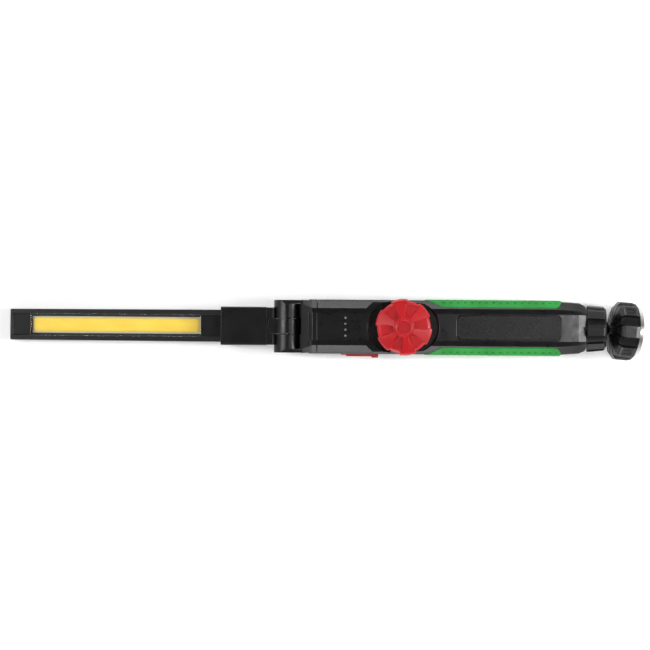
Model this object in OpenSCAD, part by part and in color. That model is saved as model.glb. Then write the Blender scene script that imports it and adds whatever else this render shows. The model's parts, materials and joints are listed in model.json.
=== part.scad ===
// Folding inspection work light: a slim COB lamp head on a fold-and-twist hinge, a battery handle with
// a rotary dimmer, and a magnet base on a clamped ball joint at the tail.
//
// Everything is drawn in the handle's own frame: X runs along the light with the lamp tip at -X, +Z is the
// side with the knob and the lamp window, and Z = 0 is the middle of the handle. at_rest() then leans the
// light so that it lies on its back on a bench, on the magnet base's rim and the back of the hinge yoke.

/* [Handle] */
// Width across the handle shells
handle_w = 46; // [44:0.5:48]
// Depth of the handle shells, front face to back face
handle_d = 40; // [38:0.5:42]
// Width of the flat front and back faces
face_w = 23.2; // [22.4:0.1:24]
// Where the gentle slope beside each flat face ends, from the middle
brow_y = 15.8; // [15:0.1:16.2]
// Drop of that gentle slope
brow_drop = 1.3; // [0.8:0.1:1.6]
// Height of the flat side faces
side_h = 23; // [22:0.5:24]
// Thickness of the shell walls
wall = 3; // [2.6:0.1:3.2]
// Seam between the hinge yoke and the shells
seam_x = -8.7; // [-9:0.1:-8]
// Where the shells narrow, past the grips
taper_x = 199.5; // [198.5:0.5:201]
// Tail end of the shells
handle_end = 219.3; // [218:0.1:220]
// Half width of the shells at the tail end
tail_half_w = 19; // [18.5:0.1:20]

/* [Lamp head] */
// Tip of the lamp head
head_tip = -269.3; // [-285:0.1:-260]
// Width of the head at its tip
head_tip_w = 26.2; // [25:0.1:27]
// Width of the head where it enters the sleeve
head_root_w = 27.4; // [26.5:0.1:28]
// Thickness of the head
head_t = 12; // [11:0.1:12.4]
// Start of the lamp window
window_x0 = -252; // [-256:0.1:-250]
// End of the lamp window
window_x1 = -107.6; // [-110:0.1:-105]
// Width of the opening between the head's rails
tray_w = 18.6; // [17:0.1:19]
// Width of the glowing strip
strip_w = 11.5; // [10:0.1:12.5]

/* [Sleeve and hinge] */
// Start of the sleeve that holds the head
sleeve_x0 = -90.7; // [-92:0.1:-90]
// End of the sleeve, at the swivel
sleeve_x1 = -51.7; // [-52:0.1:-51.5]
// Width of the sleeve
sleeve_w = 32.7; // [32:0.1:33.5]
// Thickness of the sleeve
sleeve_t = 16; // [15.6:0.1:16.4]
// Hinge axis
hinge_x = -34.4; // [-34.6:0.1:-34.2]
// Radius of the hinge barrel
barrel_r = 11; // [10.6:0.1:11.1]
// Width of the middle knuckle
knuckle_w = 13; // [12:0.1:13.2]
// Radius of the hinge bolt
pin_r = 2.5; // [2:0.1:3]

/* [Dimmer knob] */
// Knob axis
knob_x = 64.6; // [64:0.1:65.5]
// Radius over the raised sectors
knob_r = 24; // [23:0.1:24.5]
// Height of the knob's top above the handle axis
knob_top = 30; // [29:0.1:32]
// Number of raised sectors
knob_sectors = 6; // [5:1:8]
// Floor of the dish that the knob sits in
dish_floor = 14; // [13.5:0.1:14.5]
// Radius of the dish's round ends
dish_r = 22; // [21.5:0.1:22.5]
// Centres of the dish's two round ends
dish_x = [56, 72.4];

/* [Charging port] */
// Centre of the charging socket
port_x = 27; // [26:0.1:28]
// Start and end of the rubber cover
cover_x = [12.2, 43.4];
// Half height of the rubber cover
cover_h = 5.2; // [4.8:0.1:5.4]

/* [Grips and label] */
// Start and end of the rubber grips
grip_x = [82, 197.9];
// Distance of a grip's edge from the middle of the front face
grip_y = 16.6; // [16:0.1:17]
// Start and end of the blank label plate
label_x = [110.1, 197.5];
// Width of the label plate
label_w = 20.8; // [18:0.1:22]

/* [Ball joint and magnet base] */
// Centre of the ball
ball_x = 229.5; // [229.3:0.1:229.7]
// Radius of the ball
ball_r = 10; // [9.8:0.1:10]
// Tilt of the stud away from the front, at rest
tilt_back = 15.5; // [5:0.5:18]
// Tilt of the stud towards the charging side, at rest
tilt_side = 5; // [0:0.5:6]
// Radius of the collar nut over its lobes
collar_r = 19.9; // [19.5:0.1:20.5]
// Radius of the magnet base
base_r = 25; // [24:0.1:26]
// Number of lobes on the collar and on the magnet base
lobes = 8; // [6:1:8]

/* [Hidden] */
$fn = 64;

// Colours
black = [0.07, 0.07, 0.075];
dark = [0.13, 0.13, 0.14];
red = [0.78, 0.12, 0.14];
green = [0.18, 0.62, 0.28];
steel = [0.72, 0.72, 0.74];
brass = [0.80, 0.66, 0.36];
nylon = [0.88, 0.87, 0.82];

eps = 0.01;          // overlap of cutting shapes
gap = 0.3;           // space between pieces that move past each other
run = 0.05;          // radial clearance of a shaft in its bore
cut = 60;            // longer than the light is wide: for cuts that go right through
half_w = handle_w / 2;
half_d = handle_d / 2;
corner_r = norm([half_w, side_h / 2]); // reach of the section's corners
tail_bevel_x = 212.8;  // start of the slope at the tail, and its height at the tail's end
tail_front_z = 15.9;
shoulder_x = [31.4, 40.3, 54]; // start of the shoulders' slanted ends, their full width, and their end

// Yoke
yoke_w = 44.8;
yoke_step_x = -16.1; // where the yoke widens to meet the shells
yoke_face_x = -22.5; // face behind the barrel
spigot_x = 0;        // end of the spigot that enters the shells
knuckle_y = 7.2;     // inner face of the outer knuckles
bolt_head_r = 4.5;
bolt_head_y = 20.4;

// Head stack, floor to window
floor_z = -head_t / 2 + 3;
board_t = 1.6;
phosphor_t = 0.8;
lens_z = 3.8;
lens_t = 1.6;
board_x = [window_x0 + 1.4, window_x1 - 0.4];
tip_border = 2.3;
head_end = -76;      // end of the head inside the sleeve
spindle_r = 5;
swivel_washer_r = 7;
spindle_x = [-72, -42];
clip_x = -70.6;

// Screws that close the shells, from the back
screw_spots = [[-4.5, 11], [-4.5, -11], [47, 12.8], [47, -12.8], [184, 12], [184, -12]];
screw_r = 1.5;
screw_head_r = 2.8;
screw_seat_z = -half_d + 2.2;
screw_tip_z = 8;
boss_r = 4;

// Port cover
cover_axis_y = -half_w + 0.4;
cover_out = half_w + 2.1;
pocket_y = half_w - 2;

// Dimmer
knob_base_z = dish_floor + 0.6;
sector_angle = 35;
sector_start = 39;

// Battery cell
battery_x = [108, 173];
battery_z = -5;

// Tail
socket_r = 14.4;
collar_x = [220.2, 236.7];
collar_lobe = 98; // angle of the first lobe
end_wall_x = 213;

// Ball stud: its end, and its direction at rest as a tilt from the handle's axis and a roll about it
stud_end = 19;
stud_tilt = acos(cos(tilt_back) * cos(tilt_side));
stud_roll = atan2(cos(tilt_back) * sin(tilt_side), sin(tilt_back));
base_turn = asin(sin(tilt_side) / sin(stud_tilt)); // turns a lobe of the base towards the bench
rim_a = [17.3, 27.7]; // start and end of the base's full-width rim, from the ball's centre
face_a = 35.5;        // the magnet base's steel face

// Lean of the light on a bench: lowest point of the rim, and back edge of the yoke
rim_low = [ball_x + rim_a[1] * cos(stud_tilt) - base_r * cos(stud_tilt) * sin(tilt_back) / cos(tilt_back),
           -rim_a[1] * sin(tilt_back) - base_r * cos(tilt_back)];
heel = [-13, -half_d];
lean = atan((heel[1] - rim_low[1]) / (rim_low[0] - heel[0]));
rest_z = -(heel[0] * sin(lean) + heel[1] * cos(lean));

// ---- helpers ----

// Puts what is drawn in the handle's frame on the bench
module at_rest() {
    translate([0, 0, rest_z]) rotate([0, -lean, 0]) children();
}

// Turns a shape drawn about Z so that its axis is X, Y or -Y
module along_x(x = 0) translate([x, 0, 0]) rotate([0, 90, 0]) children();
module along_y(x = 0) translate([x, 0, 0]) rotate([-90, 0, 0]) children();

// A cylinder along X or Y between two places
module rod_x(x0, x1, r) along_x(x0) cylinder(h = x1 - x0, r = r);
module rod_y(x, y0, y1, r) along_y(x) translate([0, 0, y0]) cylinder(h = y1 - y0, r = r);
module rod_z(x, y, z0, z1, r) translate([x, y, z0]) cylinder(h = z1 - z0, r = r);

// A box between two corners
module block(a, b) translate(a) cube([b[0] - a[0], b[1] - a[1], b[2] - a[2]]);

// Extrudes a section drawn in (y, z) along X
module prism_x(x0, x1) translate([x0, 0, 0]) rotate([90, 0, 90]) linear_extrude(x1 - x0) children();

// Extrudes an outline drawn in (x, y) along Z
module prism_z(z0, z1) translate([0, 0, z0]) linear_extrude(z1 - z0) children();

// Extrudes an outline drawn in (x, z) along Y, centred
module prism_y(w) translate([0, w / 2, 0]) rotate([90, 0, 0]) linear_extrude(w) children();

// An outline in (x, y) from its +y side, given from left to right
function both_sides(points) = concat(points, [for (i = [len(points) - 1 : -1 : 0]) [points[i][0], -points[i][1]]]);

// A rectangle with round corners, from exact arcs
module round_rect(x0, x1, y0, y1, r) {
    translate([x0 + r, y0]) square([x1 - x0 - 2 * r, y1 - y0]);
    translate([x0, y0 + r]) square([x1 - x0, y1 - y0 - 2 * r]);
    for (x = [x0 + r, x1 - r], y = [y0 + r, y1 - r]) translate([x, y]) circle(r);
}

// A slot with round ends
module obround(x0, x1, r) {
    translate([x0, -r]) square([x1 - x0, 2 * r]);
    for (x = [x0, x1]) translate([x, 0]) circle(r);
}

// A pie slice about the origin, half_angle either side of angle
module pie(angle, half_angle, r) {
    polygon([[0, 0], for (a = [-half_angle : half_angle / 2 : half_angle])
        r * [cos(angle + a), sin(angle + a)]]);
}

// The twelve-sided section of the handle, pulled in by inset: each corner moves along its bisector
module handle_section(w, inset) {
    quarter = [[face_w / 2 - 0.15 * inset, half_d - inset],
        [brow_y - 0.53 * inset, half_d - brow_drop - 0.88 * inset],
        [w / 2 - inset, side_h / 2 - 0.41 * inset]];
    half = concat(quarter, [for (i = [2 : -1 : 0]) [quarter[i][0], -quarter[i][1]]]);
    polygon(concat(half, [for (i = [5 : -1 : 0]) [-half[i][0], half[i][1]]]));
}

// The handle's outer form pulled in by inset, from the seam to the tail, where its sides and corners draw in and its
// front face slopes
module handle_form(inset, x0, x1) {
    intersection() {
        prism_x(x0, x1) handle_section(handle_w, inset);
        prism_y(cut) polygon([[x0 - 1, -cut], [handle_end + 2, -cut], [handle_end + 2, tail_front_z - inset],
            [handle_end, tail_front_z - inset], [tail_bevel_x, half_d - inset], [x0 - 1, half_d - inset]]);
        prism_z(-cut, cut) polygon(both_sides([[x0 - 1, half_w + 2 - inset], [taper_x - 5, half_w + 2 - inset],
            [taper_x - 5, half_w + 0.5 - inset], [taper_x, half_w - 0.7 - inset],
            [tail_bevel_x, tail_half_w + 2.5 - inset], [handle_end, tail_half_w - inset]]));
        along_x() rotate_extrude() polygon([
            [0, x0 - 1], [cut, x0 - 1], [cut, taper_x - 5], [corner_r - inset, taper_x - 5],
            [corner_r - 0.8 - inset, taper_x], [corner_r - 1.7 - inset, tail_bevel_x],
            [tail_half_w + 2.2 - inset, handle_end], [0, handle_end]]);
    }
}

// Outline of one rubber grip in (x, y): an S-curve rises from the side at the knob end
module grip_outline() {
    rise = 18;
    function ease(t) = t * t * (3 - 2 * t);
    r = 6;
    polygon(concat(
        [[grip_x[0] - 3, cut]],
        [for (t = [0 : 0.1 : 1]) [grip_x[0] + rise * t, 23.4 + (grip_y - 23.4) * ease(t)]],
        [for (a = [-90 : 15 : 0]) [grip_x[1] - r + r * cos(a), grip_y + r + r * sin(a)]],
        [[grip_x[1], cut]]));
}

// The rubber grip on the +Y side, with its surface proud of the shell by out and its root sunk by deep
module grip(out, deep) {
    intersection() {
        difference() {
            handle_form(-out, grip_x[0] - 2, grip_x[1] + 1);
            handle_form(deep, grip_x[0] - 3, grip_x[1] + 2);
        }
        prism_z(-cut, cut) grip_outline();
    }
}

// The dish around the knob, wide enough for the knob's sectors
module dish(grow, z0) prism_z(z0, cut) {
    obround(dish_x[0], dish_x[1], dish_r + grow);
    translate([knob_x, 0]) circle(knob_r + 0.5 + grow);
}

// Shoulders in front of the knob, where the handle keeps its full width; their front ends run slantwise
module shoulders() {
    top = half_d - brow_drop;
    for (s = [0, 1]) mirror([0, s, 0]) intersection() {
        prism_x(shoulder_x[0], shoulder_x[2]) polygon([[brow_y - 1, 0], [half_w, 0], [half_w, top - 2],
            [half_w - 2, top], [brow_y, top], [brow_y - 1, top]]);
        prism_z(0, cut) polygon([[shoulder_x[0], brow_y], [shoulder_x[1], half_w + 0.1],
            [shoulder_x[2], half_w + 0.1], [shoulder_x[2], brow_y - 1], [shoulder_x[0], brow_y - 1]]);
    }
}

// What the shells are hollowed by
module cavity() {
    difference() {
        handle_form(wall, seam_x - 1, end_wall_x);
        dish(wall, dish_floor - wall);
    }
}

// Places what is drawn along the stud's axis, with Z along the stud from the ball's centre
module on_stud() {
    translate([ball_x, 0, 0]) rotate([-stud_roll, 0, 0]) rotate([0, 90 + stud_tilt, 0]) children();
}

// ---- lamp head ----

// Outline of the head in (x, y), tapering towards its tip
module head_outline(x1, inset) {
    polygon([[head_tip + inset, head_tip_w / 2 - inset], [x1, head_root_w / 2 - inset],
        [x1, -head_root_w / 2 + inset], [head_tip + inset, -head_tip_w / 2 + inset]]);
}

module head_screw_holes(r) {
    for (x = [-260, -99], y = [-6, 6]) rod_z(x, y, -cut, 2, r);
}

module head_frame() {
    color(dark) difference() {
        prism_z(-head_t / 2, head_t / 2) head_outline(head_end, 0);
        // the tray that the board, the window and the end blocks sit in
        block([head_tip + tip_border, -tray_w / 2, lens_z], [head_end + 1, tray_w / 2, cut]);
        block([head_tip + tip_border, -tray_w / 2 + 1.3, floor_z], [head_end + 1, tray_w / 2 - 1.3, cut]);
        head_screw_holes(1.25);
        for (x = [-260, -99], y = [-6, 6]) rod_z(x, y, -cut, -head_t / 2 + 1.5, 2.4);
        // cooling grooves along the back
        for (y = [-11 : 2.2 : -8], s = [-1, 1])
            block([window_x0, s * y - 0.5, -cut], [window_x1, s * y + 0.5, -head_t / 2 + 1]);
    }
}

module tray_block(x0, x1) {
    w = tray_w / 2 - 1.4;
    difference() {
        union() {
            block([x0, -w, floor_z], [x1, w, lens_z]);
            block([x0, -tray_w / 2 + 0.1, lens_z], [x1, tray_w / 2 - 0.1, head_t / 2 - 0.4]);
        }
        head_screw_holes(1.25);
    }
}

module tip_block() color(black) tray_block(head_tip + tip_border + 0.2, window_x0 - 0.1);

module root_block() color(black) difference() {
    tray_block(window_x1 + 0.1, head_end);
    rod_x(head_end - 14, head_end + 1, 2.2);
}

module led_board() {
    color("white") block([board_x[0], -strip_w / 2 - 1.35, floor_z],
        [board_x[1], strip_w / 2 + 1.35, floor_z + board_t]);
}

module phosphor_strip() {
    color([0.95, 0.82, 0.20]) prism_z(floor_z + board_t, floor_z + board_t + phosphor_t)
        round_rect(board_x[0] + 1, board_x[1] - 1, -strip_w / 2, strip_w / 2, 0.8);
}

module head_lens() {
    color([0.85, 0.9, 0.95, 0.35]) prism_z(lens_z, lens_z + lens_t)
        round_rect(window_x0, window_x1, -tray_w / 2 + 0.1, tray_w / 2 - 0.1, 1.6);
}

module head_screws() {
    color(steel) for (x = [-260, -99], y = [-6, 6]) {
        rod_z(x, y, -head_t / 2 + 1.5, 1.6, 1.25);
        difference() {
            rod_z(x, y, -head_t / 2 + 0.1, -head_t / 2 + 1.5, 2.3);
            block([x - 1.6, y - 0.3, -cut], [x + 1.6, y + 0.3, -head_t / 2 + 0.7]);
        }
    }
}

module swivel_sleeve() {
    clear = 0.1;
    color(black) difference() {
        prism_x(sleeve_x0, sleeve_x1)
            round_rect(-sleeve_w / 2, sleeve_w / 2, -sleeve_t / 2, sleeve_t / 2, 1.6);
        // pocket for the head
        block([sleeve_x0 - 1, -head_root_w / 2 - clear, -head_t / 2 - clear],
            [head_end + clear, head_root_w / 2 + clear, head_t / 2 + clear]);
        // bearing of the swivel, and the chamber of its clip
        rod_x(head_end - 1, sleeve_x1 + 1, spindle_r + run);
        rod_x(head_end - 1, clip_x + 1.6, 7.4);
    }
}

// ---- neck: fold knuckle and swivel spindle ----

module neck_knuckle() {
    flange_x = [sleeve_x1 + 0.15, -43.8];
    flange_top = 7;
    color(black) difference() {
        union() {
            rod_y(hinge_x, -knuckle_w / 2, knuckle_w / 2, barrel_r);
            block([flange_x[0] + 1, -knuckle_w / 2, -7.4], [hinge_x, knuckle_w / 2, 7.4]);
            // flange, hollowed and bevelled for the barrel's turn
            difference() {
                prism_x(flange_x[0], flange_x[1]) round_rect(-15.9, 15.9, -7.4, flange_top, 1.2);
                rod_y(hinge_x, -cut, cut, barrel_r + gap);
                prism_y(cut) polygon([[-47.5, flange_top], [flange_x[1] + 1, 4.2], [flange_x[1] + 1, flange_top + 1],
                    [-47.5, flange_top + 1]]);
            }
        }
        rod_y(hinge_x, -cut, cut, pin_r + run);
        rod_x(flange_x[0] - 1, spindle_x[1] + 0.1, spindle_r);
        rod_x(flange_x[0] - 1, sleeve_x1 + 0.8, swivel_washer_r + 0.1);
        // passage of the lamp's lead
        rod_x(spindle_x[1], hinge_x - pin_r - 2.5, 2);
    }
}

module swivel_spindle() {
    groove_r = 4.2;
    color(steel) along_x() rotate_extrude() polygon([
        [2.6, spindle_x[0]], [spindle_r, spindle_x[0]], [spindle_r, clip_x - 0.5],
        [groove_r, clip_x - 0.5], [groove_r, clip_x + 0.5], [spindle_r, clip_x + 0.5],
        [spindle_r, spindle_x[1]], [2.6, spindle_x[1]]]);
}

module spindle_clip() {
    color(steel) difference() {
        rod_x(clip_x - 0.45, clip_x + 0.45, 6.8);
        rod_x(clip_x - 1, clip_x + 1, 4.25);
        block([clip_x - 1, -1.6, 0], [clip_x + 1, 1.6, cut]);
    }
}

module swivel_washer() {
    color(black) difference() {
        rod_x(sleeve_x1 + 0.2, sleeve_x1 + 0.8, swivel_washer_r);
        rod_x(sleeve_x1, sleeve_x1 + 1, spindle_r);
    }
}

// ---- hinge yoke ----

module hinge_yoke() {
    cheek = 3;
    rim = 0.55;     // rims of the outer knuckles that hide the washers
    color(black) difference() {
        union() {
            intersection() {
                union() {
                    // outer knuckles, their arms, and cheeks at the outside
                    for (s = [0, 1]) mirror([0, s, 0]) {
                        rod_y(hinge_x, knuckle_y - rim, half_w, barrel_r);
                        block([hinge_x, knuckle_y - rim, -8], [yoke_face_x + 1, half_w, 3]);
                        block([hinge_x, yoke_w / 2 - cheek, -barrel_r], [yoke_face_x + 1, half_w, barrel_r]);
                    }
                    // body of the yoke, bevelled towards the barrel at the front and the back
                    prism_y(cut) polygon([[yoke_face_x, -11], [-15.7, -16.5], [heel[0], heel[1]],
                        [seam_x, -half_d], [seam_x, half_d], [heel[0], half_d], [-15.7, 16.5],
                        [yoke_face_x, 11]]);
                }
                union() {
                    prism_x(hinge_x - barrel_r - 1, yoke_step_x + eps) handle_section(yoke_w, 0);
                    prism_x(yoke_step_x, seam_x) handle_section(handle_w, 0);
                }
            }
            // lip under the middle knuckle
            difference() {
                block([hinge_x + 7.6, -knuckle_y, -8], [yoke_face_x + 1, knuckle_y, -0.5]);
                rod_y(hinge_x, -cut, cut, barrel_r + gap);
            }
            // spigot inside the shells, with its two screw bosses
            prism_x(seam_x - eps, spigot_x) handle_section(handle_w, wall + 0.1);
        }
        difference() {
            prism_x(yoke_face_x + 3, spigot_x + 1) handle_section(handle_w, wall + 2.6);
            prism_y(cut) polygon([[-30, 14], [-19, 14], [-8, 30], [-30, 30]]);
            prism_y(cut) polygon([[-30, -14], [-19, -14], [-8, -30], [-30, -30]]);
            for (i = [0, 1]) rod_z(screw_spots[i][0], screw_spots[i][1], -cut, -5, boss_r);
        }
        for (i = [0, 1]) rod_z(screw_spots[i][0], screw_spots[i][1], -cut, screw_tip_z, screw_r);
        // seats of the washers
        rod_y(hinge_x, -knuckle_y, knuckle_y, 9.1);
        // bolt, its head and its nut
        rod_y(hinge_x, -cut, cut, pin_r + run);
        rod_y(hinge_x, -cut, -bolt_head_y, bolt_head_r + 0.2);
        rod_y(hinge_x, bolt_head_y - 1.6, cut, bolt_head_r + 0.6);
        // passage of the lamp's lead
        rod_x(yoke_face_x - 1, yoke_face_x + 4, 2);
    }
}

module hinge_bolt() {
    color(steel) difference() {
        union() {
            rod_y(hinge_x, -bolt_head_y, bolt_head_y - 0.4, pin_r);
            rod_y(hinge_x, -yoke_w / 2 + 0.3, -bolt_head_y, bolt_head_r);
        }
        along_y(hinge_x) translate([0, 0, -yoke_w / 2]) cylinder(h = 1.5, r = 1.7, $fn = 6);
    }
}

module hinge_nut() {
    color(steel) difference() {
        along_y(hinge_x) translate([0, 0, bolt_head_y - 1.6]) cylinder(h = 2.6, r = bolt_head_r + 0.4, $fn = 6);
        rod_y(hinge_x, 0, cut, pin_r);
    }
}

module friction_washers() {
    color(steel) for (s = [0, 1]) mirror([0, s, 0]) difference() {
        rod_y(hinge_x, knuckle_w / 2 + 0.2, knuckle_y, 9);
        rod_y(hinge_x, 0, knuckle_y + 1, pin_r + run);
    }
}

// ---- handle shells and their covers ----

module port_cut() {
    block([cover_x[0] - 1.8, -cut, -cover_h - gap], [cover_x[1] + 0.4, -pocket_y, cover_h + gap]);
    rod_y(port_x, -cut, 0, 3.1);
}

// Screw bosses of one shell, from the parting plane outwards
module bosses() {
    for (i = [2 : 5]) rod_z(screw_spots[i][0], screw_spots[i][1], -half_d + 1, half_d - 1, boss_r);
}

// Front and rear shells together, before they are parted
module shells() {
    difference() {
        union() {
            handle_form(0, seam_x, handle_end);
            shoulders();
        }
        difference() {
            cavity();
            intersection() {
                bosses();
                handle_form(1, seam_x, handle_end);
            }
        }
        dish(0, dish_floor);
        rod_x(end_wall_x - 1, handle_end + 1, socket_r + 0.1);
        for (s = [0, 1]) mirror([0, s, 0]) grip(2, 1.5);
        port_cut();
        for (p = screw_spots) {
            rod_z(p[0], p[1], -cut, screw_tip_z, screw_r);
            rod_z(p[0], p[1], -cut, screw_seat_z, screw_head_r + 0.2);
        }
    }
}

module front_shell() {
    color(dark) difference() {
        shells();
        block([-cut, -cut, -cut], [handle_end + 1, cut, 0]);
        rod_z(knob_x, 0, 0, cut, 3.6);
        for (i = [0 : 3]) rod_z(15.2, (i - 1.5) * 5.05, 0, cut, 0.9);
        prism_z(half_d - 0.9, cut) round_rect(label_x[0] - 0.3, label_x[1] + 0.3,
            -label_w / 2 - 0.3, label_w / 2 + 0.3, 4.8);
    }
}

module rear_shell() {
    color(dark) difference() {
        shells();
        block([-cut, -cut, 0], [handle_end + 1, cut, cut]);
    }
}

module shell_screws() {
    color(steel) for (p = screw_spots) {
        rod_z(p[0], p[1], screw_seat_z, screw_tip_z, screw_r);
        difference() {
            rod_z(p[0], p[1], screw_seat_z - 2, screw_seat_z, screw_head_r);
            for (a = [0, 90]) translate([p[0], p[1], screw_seat_z - 2]) rotate([0, 0, a])
                cube([3.2, 0.7, 2], center = true);
        }
    }
}

module label_plate() {
    color([0.16, 0.16, 0.17]) prism_z(half_d - 0.9, half_d - 0.1)
        round_rect(label_x[0], label_x[1], -label_w / 2, label_w / 2, 4.5);
}

module grip_upper() color(green) grip(0.5, 1.5);
module grip_lower() color(green) mirror([0, 1, 0]) grip(0.5, 1.5);

// ---- what is inside the handle ----

module indicator_board() {
    color([0.1, 0.35, 0.2]) block([9, -12, 12], [21, 12, 13.6]);
    color("white") for (i = [0 : 3]) translate([15.2, (i - 1.5) * 5.05, 14]) cube([2, 1.4, 0.9], center = true);
}

module indicator_lenses() {
    color([0.8, 0.85, 0.85]) for (i = [0 : 3]) rod_z(15.2, (i - 1.5) * 5.05, 14.6, half_d + 0.1, 0.9);
}

module control_board() {
    color([0.1, 0.35, 0.2]) block([36, -8.4, -3], [101, 8.4, -1.4]);
    color(black) for (x = [40, 84]) block([x, -4, -1.4 - eps], [x + 9, 4, 0.6]);
}

module dimmer_body() {
    color([0.3, 0.3, 0.32]) difference() {
        union() {
            block([knob_x - 8.5, -8.5, -1.4], [knob_x + 8.5, 8.5, 8]);
            rod_z(knob_x, 0, 8 - eps, dish_floor + 2.2, 3.5);
        }
        rod_z(knob_x, 0, 1, cut, 3 + run);
    }
}

module dimmer_nut() {
    color(steel) difference() {
        translate([knob_x, 0, dish_floor]) cylinder(h = 1.8, r = 5.6, $fn = 6);
        rod_z(knob_x, 0, 0, cut, 3.5);
    }
}

module battery_cell() {
    color([0.15, 0.35, 0.7]) translate([0, 0, battery_z]) {
        rod_x(battery_x[0], battery_x[1] - 1.5, 9.2);
        rod_x(battery_x[1] - 1.5 - eps, battery_x[1], 3.5);
    }
}

module battery_tabs() {
    color(steel) for (x = [battery_x[0] - 0.4, battery_x[1]])
        block([x, -3.5, battery_z - 6], [x + 0.4, 3.5, battery_z + 6]);
}

module battery_cradle() {
    color(black) difference() {
        for (x = [116, 156]) block([x, -11, -half_d + wall], [x + 8, 11, battery_z - 0.5]);
        translate([0, 0, battery_z]) rod_x(battery_x[0], battery_x[1], 9.3);
    }
}

module battery_leads() {
    color(red) translate([0, 2, -2.2]) rod_x(101, battery_x[0] - 0.4, 0.7);
    color(black) translate([0, -2, -2.2]) rod_x(101, battery_x[0] - 0.4, 0.7);
}

module charge_socket() {
    inner = half_w - wall;
    color([0.2, 0.2, 0.21]) difference() {
        block([port_x - 6, -inner, -4.5], [port_x + 6, -8, 4.5]);
        rod_y(port_x, -inner - 1, -11, 1.8);
    }
    color(brass) rod_y(port_x, -18, -11 + eps, 0.65);
}

module tail_socket() {
    color(black) difference() {
        union() {
            rod_x(206, end_wall_x, 15.8);
            rod_x(end_wall_x - eps, ball_x - 0.5, socket_r);
        }
        translate([ball_x, 0, 0]) sphere(ball_r + 0.1);
        rod_x(205, 217, 6);
    }
}

// ---- dimmer knob ----

module knob() {
    well = [8.9, 20.1];    // inner and outer radius of the wedge pockets
    cap_r = 8.2;
    hub_z = knob_top - 0.7;
    rim_z = knob_top - 3.3;  // top of the rim, and floor of the pockets
    color(red) translate([knob_x, 0, 0]) difference() {
        intersection() {
            rotate_extrude() polygon([[0, knob_base_z], [knob_r - 1.5, knob_base_z],
                [knob_r, knob_base_z + 1.5], [knob_r, rim_z - 1.7], [knob_r - 1.7, rim_z],
                [cap_r, hub_z], [0, hub_z]]);
            // full radius only at the raised sectors
            prism_z(0, cut) union() {
                circle(knob_r - 1.2);
                for (i = [1 : knob_sectors]) pie(sector_start + i * 360 / knob_sectors, sector_angle / 2, 40);
            }
        }
        // wedge pockets between the raised sectors
        for (i = [1 : knob_sectors]) intersection() {
            rotate_extrude() polygon([[well[0], rim_z], [well[1], rim_z], [well[1], knob_top],
                [well[0], knob_top]]);
            prism_z(0, cut) pie(sector_start + (i + 0.5) * 360 / knob_sectors, 15, 40);
        }
        // space for the dimmer's nut, the shaft's socket, and the cap's seat
        rod_z(0, 0, 0, dish_floor + 3, 7.5);
        rod_z(0, 0, 0, knob_top - 4, 3);
        rod_z(0, 0, knob_top - 2.4, cut, cap_r);
    }
}

module knob_cap() {
    color(red) translate([knob_x, 0, 0]) difference() {
        rod_z(0, 0, knob_top - 2.4, knob_top + 0.2, 8);
        rod_z(0, 0, knob_top - 0.8, cut, 5.5);
    }
}

module dimmer_shaft() color(steel) rod_z(knob_x, 0, 1.2, knob_top - 4, 3);

// ---- charging port cover ----

module port_cover() {
    hinge_r = 1.3;
    shoulder = 4.5;
    color(red) {
        prism_z(-cover_h, cover_h) {
            translate([cover_x[0], cover_axis_y]) circle(hinge_r);
            polygon([[cover_x[0], cover_axis_y + hinge_r], [cover_x[0], cover_axis_y - hinge_r],
                [cover_x[0] + shoulder - 1.5, cover_axis_y - hinge_r], [cover_x[0] + shoulder, -cover_out],
                [cover_x[1], -cover_out], [cover_x[1], cover_axis_y + hinge_r]]);
            // pull tab
            translate([cover_x[1] - 3, -cover_out]) intersection() {
                circle(3);
                translate([-3, -1]) square([6, 2]);
            }
        }
        // stopper in the socket's mouth
        rod_y(port_x, cover_axis_y + hinge_r - eps, -half_w + wall - 0.3, 2.5);
        rod_y(port_x, -half_w + wall - 0.3 - eps, -half_w + wall + 1.2, 1.3);
    }
}

// ---- tail: collar, ball and magnet base ----

module collar_nut() {
    color(black) difference() {
        intersection() {
            along_x() rotate_extrude() polygon([[0, collar_x[0]], [collar_r, collar_x[0]],
                [collar_r, collar_x[1] - 6.5], [collar_r - 1.2, collar_x[1] - 2.4],
                [collar_r - 4, collar_x[1]], [0, collar_x[1]]]);
            prism_x(collar_x[0], collar_x[1]) union() {
                circle(collar_r - 1.5);
                for (i = [1 : lobes]) pie(collar_lobe + i * 360 / lobes, 12, 40);
            }
        }
        rod_x(collar_x[0] - 1, ball_x + 5.9, socket_r + 0.4);
        // mouth, opening outwards for the stud
        along_x() rotate_extrude() polygon([[0, ball_x + 5], [8.8, ball_x + 5], [8.8, ball_x + 6.2],
            [10, collar_x[1] + 0.1], [0, collar_x[1] + 0.1]]);
    }
}

module pressure_ring() {
    color(nylon) difference() {
        rod_x(ball_x - 0.2, ball_x + 5.6, socket_r - 0.2);
        translate([ball_x, 0, 0]) sphere(ball_r + 0.08);
    }
}

module ball_stud() {
    color(dark) on_stud() difference() {
        union() {
            sphere(ball_r);
            cylinder(h = stud_end, r = 3.4);
        }
        translate([0, 0, 12]) cylinder(h = stud_end, r = screw_r);
    }
}

module stud_washer() {
    color(steel) on_stud() translate([0, 0, stud_end + 0.05]) difference() {
        cylinder(h = 1, r = 7);
        translate([0, 0, -1]) cylinder(h = 3, r = screw_r);
    }
}

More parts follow.
